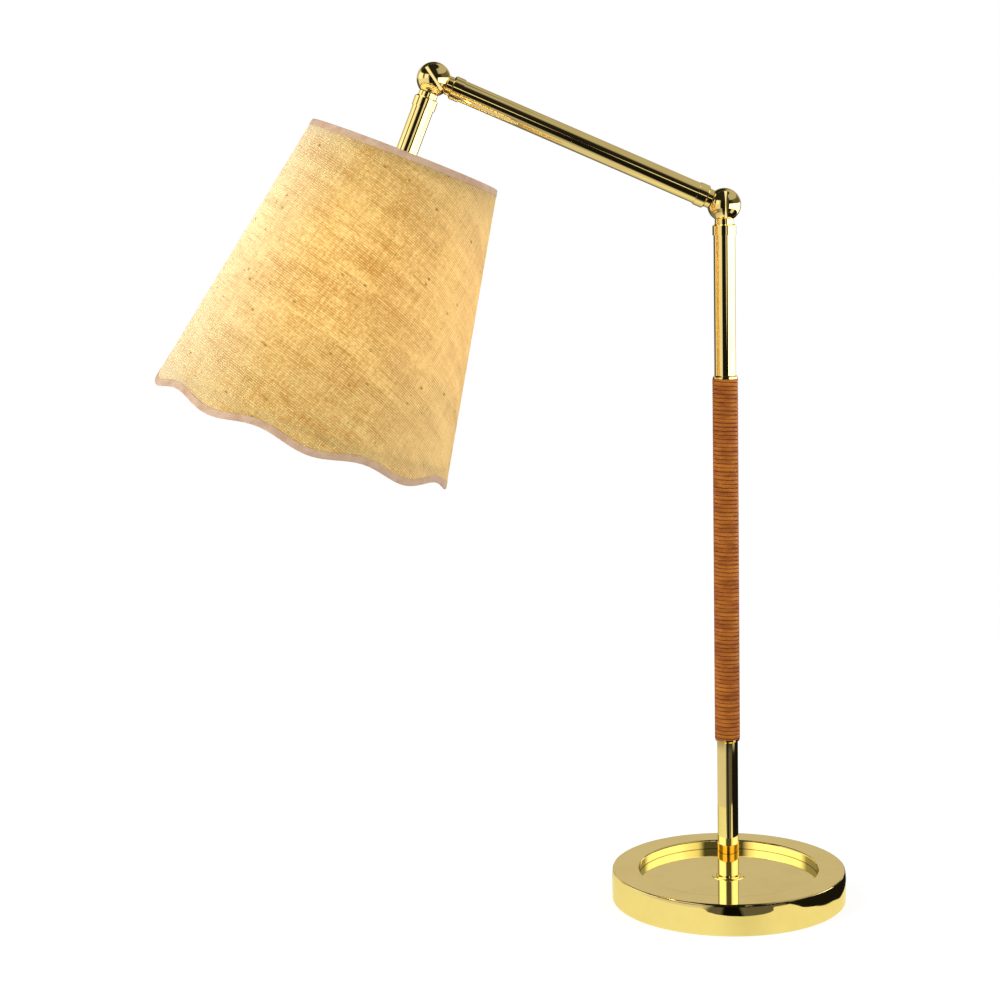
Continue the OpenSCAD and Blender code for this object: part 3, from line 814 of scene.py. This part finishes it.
def dress(finish: Finish, *nodes: str) -> None:
    """Gives carried-over CAD nodes their finish.

    Args:
        finish: The finish.
        *nodes: The nodes that get it.
    """
    for name in nodes:
        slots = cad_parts[name].data.materials
        slots.clear()
        slots.append(finish.material())
        LOG.info("%s dressed in %s", name, finish.name)


def settle(piece: bpy.types.Object, body: str, slot: str, *nodes: str) -> None:
    """Puts a finished piece on its body, in place of CAD nodes.

    Args:
        piece: The piece.
        body: The CAD body that carries it.
        slot: Not used.
        *nodes: The CAD nodes that it stands for.
    """
    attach(piece, body)
    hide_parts(*nodes)
    LOG.info("%s made, %d faces, rides on %s", piece.name, len(piece.data.polygons), body)


def leaning_route(origin: tuple, lean: float, run_mm: tuple) -> list[tuple[float, ...]]:
    """Places a route that is given along a tube's own axis.

    Args:
        origin: Where the tube's axis starts.
        lean: Its turn about y.
        run_mm: (y, z) pairs in the tube's frame.

    Returns:
        The route's points in the lamp's frame.
    """
    turned = Matrix.Translation(origin) @ Matrix.Rotation(math.radians(lean), 4, "Y")
    return [tuple(turned @ Vector((0, y * MM, z * MM))) for y, z in run_mm]


def lead(name: str, route: list[tuple[float, ...]]) -> bpy.types.Object:
    """Sweeps an insulated wire along its route inside a tube.

    Args:
        name: The piece's name.
        route: The points it passes, in the lamp's frame.

    Returns:
        The piece.
    """
    seed = bpy.data.meshes.new(name + "_route")
    seed.from_pydata(route, [(k, k + 1) for k in range(len(route) - 1)], [])
    grown = Grown(name, {"Radius": LEAD_R, "Sides": 16, "Bend": 2 * LEAD_R})
    board, given = grown.board, grown.given
    line = board.out("GeometryNodeMeshToCurve", {"Mesh": given["Geometry"]})
    bends = {"Curve": line, "Radius": given["Bend"], "Limit Radius": True, "Count": 5}
    eased = board.out("GeometryNodeFilletCurve", bends, mode="POLY")
    section = {"Resolution": given["Sides"], "Radius": given["Radius"]}
    ring = board.out("GeometryNodeCurvePrimitiveCircle", section)
    swept = {"Curve": eased, "Profile Curve": ring, "Fill Caps": True}
    return grown.grow(board.out("GeometryNodeCurveToMesh", swept), SLEEVE.material(), seed)


# The lamp's sub-assemblies


@dataclass
class Stand:
    """Weighted base, stem and leather grip, with the lower knuckle's fixed half."""

    body: str = "stand"
    grip_low: float = 0.127
    grip_high: float = 0.403
    tube_r: float = 0.008
    strip_t: float = 0.0016
    turns: int = 90
    tail: float = 0.42
    glue: float = 0.00012
    strip_gap: float = 0.00014
    strip_round: float = 0.00042
    turn_points: int = 44
    pad_soft: float = 0.0007
    pad_bevel: float = 0.0003
    pad_hole: float = 0.0005
    pad_sides: int = 128
    bend_r: float = 0.004
    bend: tuple = ((0.082, 0.008), (0.074, 0.008), (0.016, 0.0036))
    rise: tuple = ((0.0, 0.4727), (-0.0023, 0.4967), (-0.0023, 0.525))

    def strip(self, grown: Grown) -> Wire:
        """Sweeps the strip's rounded section along its spiral, starting at z = 0.

        Args:
            grown: The strip's tree.

        Returns:
            The strip, with each point's place across it in the attribute across.
        """
        board, given = grown.board, grown.given
        spiral_in = {
            "Resolution": given["Points a turn"],
            "Rotations": given["Turns"],
            "Start Radius": given["Radius"],
            "End Radius": given["Radius"],
            "Height": given["Height"],
        }
        spiral = board.out("GeometryNodeCurveSpiral", spiral_in)
        upright = board.out("GeometryNodeSetCurveNormal", {"Curve": spiral}, mode="Z_UP")
        sides = {"Width": given["Thickness"], "Height": given["Width"]}
        section = board.out("GeometryNodeCurvePrimitiveQuadrilateral", sides)
        corners = {"Curve": section, "Radius": given["Edge round"], "Count": 2}
        eased = board.out("GeometryNodeFilletCurve", corners, mode="POLY")
        across = board.out("GeometryNodeInputPosition").axes()[1] * 2.0 / given["Width"]
        mark = {"Geometry": eased, "Name": "across", "Value": across}
        marked = board.out("GeometryNodeStoreNamedAttribute", mark)
        swept = {"Curve": upright, "Profile Curve": marked, "Fill Caps": True}
        return board.out("GeometryNodeCurveToMesh", swept)

    def leather(self) -> bpy.types.Object:
        """Winds the leather strip round the stem, its two ends cut flush with the rings.

        Returns:
            The wound strip.
        """
        pitch = (self.grip_high - self.grip_low) / self.turns
        sizes = {
            "Turns": self.turns + 2 * self.tail,
            "Height": (self.turns + 2 * self.tail) * pitch,
            "Low end": self.grip_low,
            "High end": self.grip_high,
            "Radius": self.tube_r + self.glue + self.strip_t / 2,
            "Width": pitch - self.strip_gap,
            "Thickness": self.strip_t - 2 * self.glue,
            "Edge round": self.strip_round,
            "Points a turn": self.turn_points,
        }
        grown = Grown("leather_wrap", sizes)
        board, given = grown.board, grown.given
        lift = {"Geometry": self.strip(grown)}
        lift["Translation"] = (0, 0, self.grip_low - self.tail * pitch)
        placed = board.out("GeometryNodeTransform", lift)
        x, y, z = board.out("GeometryNodeInputPosition").axes()
        held = z.math("MAXIMUM", given["Low end"]).math("MINIMUM", given["High end"])
        flush = {"Geometry": placed, "Position": x.joined(y, held)}
        cut = board.out("GeometryNodeSetPosition", flush)
        welded = {"Geometry": cut, "Distance": 0.000002}
        return grown.grow(board.out("GeometryNodeMergeByDistance", welded), LEATHER.material())

    def pad(self) -> bpy.types.Object:
        """Cuts the felt disc under the base, with its edge rounded by wear.

        Returns:
            The pad.
        """
        low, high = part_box("base_pad")
        top, edge = high.z, high.x
        inner, mid = edge - self.pad_soft, low.z + self.pad_soft
        outline = [(self.pad_hole, low.z), (inner, low.z)]
        for angle in (22, 45, 67, 90):
            up, out = on_circle(angle, self.pad_soft)
            outline.append((inner + out, mid - up))
        outline += [(edge, top - self.pad_bevel), (edge - self.pad_bevel, top)]
        piece = lathe("felt_pad", [*outline, (self.pad_hole, top)], self.pad_sides)
        piece.data.materials.append(FELT.material())
        return piece

    def wire(self) -> bpy.types.Object:
        """Runs the stem's lead from the cable inlet to the lower knuckle.

        Returns:
            The lead.
        """
        upright = self.bend[-1][1] + self.bend_r
        curve = []
        for angle in (15, 45, 75, 90):
            down, back = on_circle(angle, self.bend_r)
            curve.append((self.bend_r - back, upright - down))
        return lead("stem_wire", [(0.0, y, z) for y, z in (*self.bend, *curve, *self.rise)])

    def build(self) -> None:
        """Makes the soft pieces and dresses the metal."""
        settle(self.leather(), self.body, "leather", "grip_wrap")
        settle(self.pad(), self.body, "felt", "base_pad")
        settle(self.wire(), self.body, "white_sleeve", "stem_lead")
        dress(BRASS_DISH, "base_dish")
        dress(BRASS_TURNED, "foot_flange")
        dress(BRASS_STEM, "stem_tube", "stem_plug")
        dress(BRASS_BUFFED, "stem_collar", "stem_knuckle", "grip_ring_bottom", "grip_ring_top")
        dress(CAST_IRON, "base_weight")
        dress(ZINC, "stem_nipple", "stem_washer", "stem_nut", "lower_spring_washer")
        dress(FIBRE, "lower_friction_washer")
        dress(RUBBER, "cord_bush")


@dataclass
class Arm:
    """The tube between the two knuckles, with a collar and a half knuckle at each end."""

    body: str = "arm"
    run_mm: tuple = ((2.3, -7.0), (2.3, -35.3), (-2.3, -197.7), (-2.3, -226.0))

    def wire(self) -> bpy.types.Object:
        """Runs the arm's lead through its tube."""
        return lead("arm_wire", leaning_route(PIVOT_LOW, ARM_LEAN, self.run_mm))

    def build(self) -> None:
        """Makes the lead and dresses the metal."""
        settle(self.wire(), self.body, "white_sleeve", "arm_lead")
        dress(BRASS_ARM, "arm_tube")
        dress(BRASS_BUFFED, "arm_knuckle_lower", "lower_pivot_screw", "arm_collar_lower")
        dress(BRASS_BUFFED, "arm_collar_upper", "arm_knuckle_upper")
        dress(ZINC, "upper_spring_washer")
        dress(FIBRE, "upper_friction_washer")


@dataclass
class Head:
    """The drop tube with its holder and lamp, and the raffia shade."""

    body: str = "head"
    top_r: float = 0.072
    top_depth: float = 0.0592
    height: float = 0.2145
    slope: float = 42 / 214.5
    lobes: float = 9.0
    lobe_h: float = 0.003
    lobe_turn: float = 274.3
    wall: float = 0.0012
    tape_w: float = 0.0042
    tape_t: float = 0.0005
    fold_r: float = 0.0009
    weld: float = 0.00001
    run_mm: tuple = ((2.3, -7.0), (2.3, -31.3), (0.0, -56.2), (0.0, -78.0))

    def sheet(self, grown: Grown) -> tuple[Wire, ...]:
        """Lays out a square sheet that is to go round the shade.

        Args:
            grown: The piece's tree, with the sizes Around and Across.

        Returns:
            The sheet, a point's angle round the axis in radians, and its place across
            the sheet, -0.5 to 0.5.
        """
        counts = {"Vertices X": grown.given["Around"], "Vertices Y": grown.given["Across"]}
        grid = {"Size X": 1.0, "Size Y": 1.0, **counts}
        u, v, _ = grown.board.out("GeometryNodeInputPosition").axes()
        angle = u * (2 * math.pi) + 1.5 * math.pi
        return grown.board.out("GeometryNodeMeshGrid", grid), angle, v

    def placed(self, sheet: Wire, angle: Wire, depth: Wire, radius: Wire) -> Wire:
        """Bends a sheet round the axis, hangs it from the upper knuckle and closes it.

        Args:
            sheet: The sheet.
            angle: Turn about the shade's axis, in radians.
            depth: Distance below the knuckle.
            radius: Distance from the axis.

        Returns:
            The placed geometry.
        """
        board = sheet.board
        x, y = (radius * angle.math(side) for side in ("COSINE", "SINE"))
        there = {"Geometry": sheet, "Position": x.joined(y, depth * -1.0)}
        hung = {
            "Geometry": board.out("GeometryNodeSetPosition", there),
            "Translation": PIVOT_UP,
            "Rotation": (0, math.radians(SHADE_TILT), 0),
        }
        seamed = {"Geometry": board.out("GeometryNodeTransform", hung), "Distance": self.weld}
        return board.out("GeometryNodeMergeByDistance", seamed)

    def wall_r(self, depth: Wire | float) -> Wire | float:
        """The wall's outer radius at a depth below the knuckle."""
        return (depth - self.top_depth) * self.slope + self.top_r

    def lower_edge(self, grown: Grown, angle: Wire) -> Wire:
        """The depth of the wavy lower edge at an angle round the axis, in radians."""
        phase = (angle - math.radians(self.lobe_turn)) * grown.given["Lobes"]
        return phase.math("COSINE") * grown.given["Lobe height"] + (self.top_depth + self.height)

    def cone(self) -> bpy.types.Object:
        """Bends the woven sheet into the shade, with its wavy lower edge and its liner.

        Returns:
            The shade.
        """
        sizes = {"Lobes": self.lobes, "Lobe height": self.lobe_h, "Around": 541, "Across": 40}
        grown = Grown("raffia_shade", sizes)
        sheet, angle, v = self.sheet(grown)
        length = self.lower_edge(grown, angle) - self.top_depth
        depth = (0.5 - v) * length + self.top_depth
        bent = self.placed(sheet, angle, depth, self.wall_r(depth))
        shade = grown.grow(bent, RAFFIA.material())
        shade.data.materials.append(LINER.material())
        self.thicken(shade, self.wall, inner_slot=1)
        return shade

    def thicken(self, piece: bpy.types.Object, depth: float, inner_slot: int = 0) -> None:
        """Turns one sheet into a closed wall, inwards from its faces.

        Args:
            piece: The sheet.
            depth: The wall's thickness.
            inner_slot: The material slot of the inner face.
        """
        solid = piece.modifiers.new("wall", "SOLIDIFY")
        solid.thickness = depth
        solid.offset = -1
        solid.use_even_offset = True
        solid.material_offset = inner_slot
        piece.data = baked(piece, solid)
        piece.data.name = piece.name

    def tape(self, name: str, low_edge: bool) -> bpy.types.Object:
        """Folds the bias tape over one edge of the shade.

        Args:
            name: The piece's name.
            low_edge: Whether it is the wavy lower edge.

        Returns:
            The folded tape.
        """
        sizes = {
            "Tape width": self.tape_w,
            "Fold radius": self.fold_r,
            "Lobes": self.lobes,
            "Around": 361,
            "Across": 33,
            "Lobe height": self.lobe_h if low_edge else 0.0,
        }
        grown = Grown(name, sizes)
        fold = grown.given["Fold radius"]
        sheet, angle, v = self.sheet(grown)
        quarter = fold * (math.pi / 2)
        run = v * ((grown.given["Tape width"] + quarter) * 2.0)
        bend = run.math("MAXIMUM", quarter * -1.0).math("MINIMUM", quarter)
        out = fold * (bend / fold).math("SINE")
        past = fold * (bend / fold).math("COSINE") - (abs(run) - abs(bend))
        cone = math.atan(self.slope)
        down, wide = on_circle(math.degrees(cone), 1.0 if low_edge else -1.0)
        edge = self.lower_edge(grown, angle) if low_edge else self.top_depth
        depth = past * down + edge + out * -math.sin(cone)
        middle = self.wall_r(edge) - self.wall / 2 / math.cos(cone)
        radius = past * wide + middle + out * math.cos(cone)
        folded = grown.grow(self.placed(sheet, angle, depth, radius), TAPE.material())
        if not low_edge:
            folded.data.flip_normals()
        self.thicken(folded, self.tape_t)
        return folded

    def wire(self) -> bpy.types.Object:
        """Runs the drop's lead down to the lampholder."""
        return lead("drop_wire", leaning_route(PIVOT_UP, SHADE_TILT, self.run_mm))

    def build(self) -> None:
        """Makes the shade, its tapes and the lead, and dresses the rest."""
        settle(self.cone(), self.body, "raffia", "shade_cone")
        settle(self.tape("top_tape", False), self.body, "tape", "shade_top_trim")
        settle(self.tape("bottom_tape", True), self.body, "tape", "shade_bottom_trim")
        settle(self.wire(), self.body, "white_sleeve", "drop_lead")
        dress(BRASS_DROP, "drop_tube", "drop_plug")
        dress(BRASS_BUFFED, "drop_knuckle", "upper_pivot_screw", "drop_collar")
        dress(ZINC, "drop_nipple", "shade_spider", "shade_top_wire", "shade_bottom_wire")
        dress(PHENOLIC, "holder_cap", "holder_body", "holder_ring")
        dress(PORCELAIN, "holder_insert")
        dress(CAP_METAL, "bulb_cap")
        dress(OPAL, "bulb_glass")


@dataclass
class Studio:
    """Pale floor, white surround, soft light and the camera.

    What the metal mirrors is told in tables of (angle, brightness) pairs. The angle
    goes round the lamp, 0 towards the camera and growing to the right. The bands
    between two tables are heights of a ray's direction, or distances on the floor.
    """

    floor_r: float = 1.2
    floor_z: float = -0.0002
    floor_glow: float = 0.72
    eye: tuple = (-0.2598, -1.5322, 0.5274)
    yaw: float = 3.32
    pitch: float = 7.834
    roll: float = -1.227
    lens: float = 74.33
    peak: float = 3.5
    spot: float = 1.2
    spot_band: tuple = (0.9976, 0.9986)
    spots: tuple = ((0.0313, -0.9974, 0.0645), (0.1668, -0.9860, 0.0035))
    high_band: tuple = (0.04, 0.12)
    ceiling_band: tuple = (0.45, 0.52)
    zenith_band: tuple = (0.88, 0.92)
    zenith: tuple = (0.006, 0.006, 0.006, 1)
    twice_band: tuple = (1.4, 1.6)
    twice_tint: tuple = (0.93, 1.18, 1.7)
    near_tint: tuple = (1, 1.03, 0.8)
    rim_band: tuple = (-0.001, 0.001)
    far_band: tuple = (0.45, 0.50)
    farthest: float = 0.3
    lamps: tuple = (
        ("left_panel", (-1.5, -0.7, 0.8), (-0.2, 0, 0.4), 1.0, 18),
        ("right_panel", (1.4, -0.5, 0.8), (0, 0, 0.35), 0.9, 12),
    )
    high: tuple = (
        (-180, 0.68), (-135, 0.62), (-118, 1.4), (-84, 1.4), (-80, 0.14), (-69, 0.14),
        (-65, 1.3), (-46, 1.3), (-36, 0.6), (-31, 0.01), (45, 0.02), (62, 0.13),
        (130, 0.14), (148, 0.60), (180, 0.68),
    )
    level: tuple = (
        (-180, 0.10), (-132, 0.12), (-120, 1.0), (-38, 0.95), (-33, 0.01), (26, 0.01),
        (31, 3.5), (128, 3.5), (138, 0.10), (180, 0.10),
    )
    ceiling: tuple = (
        (-180, 0.02), (27, 0.02), (38, 0.50), (48, 0.55), (135, 0.55), (150, 0.50),
        (168, 0.02), (180, 0.02),
    )
    twice: tuple = (
        (-180, 0.35), (-132, 0.45), (-118, 1.8), (-50, 2.2), (-36, 1.2), (-28, 0.10),
        (22, 0.10), (30, 1.2), (60, 2.0), (118, 1.7), (132, 0.45), (180, 0.35),
    )
    floor_far: tuple = (
        (-180, 0.25), (-50, 0.28), (-36, 0.55), (-26, 0.45), (-22, 0.01), (44, 0.01),
        (49, 0.9), (72, 0.9), (77, 0.01), (165, 0.01), (180, 0.25),
    )
    floor_mid: tuple = (
        (-180, 0.80), (-32, 0.80), (-28, 0.50), (-24.5, 0.12), (-15, 0.12),
        (-13.5, 0.004), (-1, 0.004), (1, 0.13), (36, 0.13), (41, 0.01), (150, 0.01),
        (165, 0.60), (180, 0.80),
    )
    floor_near: tuple = (
        (-180, 0.60), (-140, 0.60), (-120, 0.95), (-20, 1.02), (0, 0.85), (20, 1.0),
        (80, 1.0), (120, 0.90), (180, 0.60),
    )
    floor_rim: tuple = (
        (-180, 0.260), (-30, 0.260), (-24.5, 0.175), (-18, 0.152), (-14, 0.147),
        (-9.6, 0.1405), (-0.5, 0.1376), (6.4, 0.1395), (14, 0.1455), (19, 0.155),
        (23, 0.175), (27, 0.270), (41, 0.270), (43.5, 0.146), (46, 0.136), (50, 0.128),
        (55, 0.121), (60, 0.117), (69, 0.114), (77, 0.107), (98, 0.107), (115, 0.110),
        (135, 0.115), (160, 0.160), (180, 0.200),
    )

    def camera(self) -> None:
        """Sets the camera where the photograph was taken from."""
        eye = bpy.data.objects.new("camera", bpy.data.cameras.new("camera"))
        bpy.context.scene.collection.objects.link(eye)
        eye.data.lens = self.lens
        eye.data.sensor_width = 36
        eye.data.sensor_fit = "HORIZONTAL"
        eye.matrix_world = Matrix.Translation(self.eye)
        for angle, axis in ((-self.yaw, "Z"), (90 - self.pitch, "X"), (self.roll, "Z")):
            eye.matrix_world @= Matrix.Rotation(math.radians(angle), 4, axis)
        bpy.context.scene.camera = eye

    def round_table(self, place: Wire, stops: tuple, full: float | None = None) -> Wire:
        """Looks a value up by the angle round the lamp.

        Args:
            place: A direction, or a place on the floor.
            stops: Angles and their values.
            full: The value that counts as 1, the peak if none is given.

        Returns:
            The value as a share of the full one.
        """
        x, y, _ = place.axes()
        share = x.math("ARCTAN2", y * -1.0).remap(-math.pi, math.pi)
        whole = full or self.peak
        return share.ramp([((angle + 180) / 360, value / whole) for angle, value in stops])

    def panels(self, way: Wire, depth: Wire) -> Wire:
        """What the metal mirrors of the studio, as a share of the peak.

        Args:
            way: The ray's direction.
            depth: How many times the ray was mirrored.

        Returns:
            The colour.
        """
        z = way.axes()[2]
        above, beside, overhead, again = (
            self.round_table(way, stops)
            for stops in (self.high, self.level, self.ceiling, self.twice)
        )
        panels = z.remap(*self.high_band).mix(beside, above)
        panels = z.remap(*self.ceiling_band).mix(panels, overhead)
        panels = z.remap(*self.zenith_band).mix(panels, self.zenith)
        for centre in self.spots:
            aim = {"Vector": way, "Vector_001": centre}
            near = way.board.out("ShaderNodeVectorMath", aim, "Value", operation="DOT_PRODUCT")
            lit = (self.spot / self.peak,) * 3 + (1,)
            panels = near.remap(*self.spot_band).mix(panels, lit)
        return depth.remap(*self.twice_band).mix(panels, again.stretched(self.twice_tint))

    def surround(self) -> None:
        """Lights the world: white to the camera, a studio of panels and gaps to the metal."""
        world = bpy.data.worlds.new("studio")
        bpy.context.scene.world = world
        board = Board.cleared(world)
        way = board.out("ShaderNodeTexCoord", pick="Generated")
        ray = self.ray(board)
        sides = abs(way.axes()[0]).remap(0.2, 0.85)
        tone = sides.mix((0.50, 0.51, 0.53, 1), (0.92, 0.93, 0.95, 1))
        soft = board.lit("ShaderNodeBackground", tone, 1.0)
        panels = self.panels(way, ray["Glossy Depth"])
        seen = board.lit("ShaderNodeBackground", panels, self.peak)
        shown = board.blend(ray["Is Glossy Ray"], soft, seen)
        white = board.lit("ShaderNodeBackground", WHITE, 1.0)
        final = board.blend(self.direct(ray), shown, white)
        board.node("ShaderNodeOutputWorld", {"Surface": final})

    def ray(self, board: Board) -> dict[str, Wire]:
        """What kind of ray looks at the surface, by name."""
        outputs = board.node("ShaderNodeLightPath").outputs
        return {out.name: Wire(board, out) for out in outputs}

    def direct(self, ray: dict[str, Wire]) -> Wire:
        """Whether the camera looks straight at the surface, or through glass."""
        return ray["Is Camera Ray"].math("MAXIMUM", ray["Is Transmission Ray"])

    def rings(self, place: Wire) -> Wire:
        """What the metal mirrors of the floor, as a share of the peak.

        Args:
            place: A place on the floor.

        Returns:
            The colour.
        """
        away = place.radius()
        near, middle, outer = (
            self.round_table(place, stops)
            for stops in (self.floor_near, self.floor_mid, self.floor_far)
        )
        rim = self.round_table(place, self.floor_rim, self.farthest) * self.farthest
        rings = (away - rim).remap(*self.rim_band).mix(near.stretched(self.near_tint), middle)
        return away.remap(*self.far_band).mix(rings, outer)

    def floor_finish(self) -> bpy.types.Material:
        """Makes the floor's material: pale and shadowed, and clear from below.

        Returns:
            The material.
        """
        made = bpy.data.materials.new("pale_floor")
        board = Board.cleared(made)
        ray = self.ray(board)
        place = board.out("ShaderNodeTexCoord", pick="Object")
        plain = board.out("ShaderNodeBsdfDiffuse", {"Color": (0.8, 0.8, 0.8, 1)})
        paint = board.out("ShaderNodeBsdfDiffuse", {"Color": (0.36, 0.36, 0.36, 1)})
        glow = board.lit("ShaderNodeEmission", WHITE, self.floor_glow)
        pale = board.out("ShaderNodeAddShader", {"Shader": paint, "Shader_001": glow})
        seen = board.lit("ShaderNodeEmission", self.rings(place), self.peak)
        above = board.blend(ray["Is Glossy Ray"], board.blend(self.direct(ray), plain, pale), seen)
        below = board.out("ShaderNodeBsdfTransparent", {"Color": WHITE})
        under = board.out("ShaderNodeNewGeometry", pick="Backfacing")
        final = board.blend(under, above, below)
        board.node("ShaderNodeOutputMaterial", {"Surface": final})
        return made

    def floor(self) -> None:
        """Lays the floor, which keeps the lamp's shadow."""
        ring = [(*on_circle(angle, self.floor_r), self.floor_z) for angle in range(0, 360, 3)]
        mesh = bpy.data.meshes.new("floor")
        mesh.from_pydata(ring, [], [tuple(range(len(ring)))])
        mesh.materials.append(self.floor_finish())
        piece_from("floor", mesh)

    def lights(self) -> None:
        """Hangs the soft lights: name, place, the point faced, width and watts."""
        for name, place, aim, size, power in self.lamps:
            data = bpy.data.lights.new(name, "AREA")
            data.shape = "SQUARE"
            data.size = size
            data.energy = power
            light = bpy.data.objects.new(name, data)
            light.location = place
            light.rotation_mode = "QUATERNION"
            light.rotation_quaternion = (Vector(aim) - Vector(place)).to_track_quat("-Z", "Y")
            light.visible_glossy = False
            light.visible_camera = False
            bpy.context.scene.collection.objects.link(light)

    def build(self) -> None:
        """Sets up the whole studio."""
        bpy.context.scene.view_settings.view_transform = "Standard"
        self.camera()
        self.surround()
        self.floor()
        self.lights()
        LOG.info("studio set")


def main() -> None:
    """Builds the studio and the lamp's sub-assemblies in order."""
    logging.basicConfig(level=logging.INFO, format="%(message)s")
    Studio().build()
    for part in (Stand(), Arm(), Head()):
        part.build()


if __name__ == "__main__":
    main()
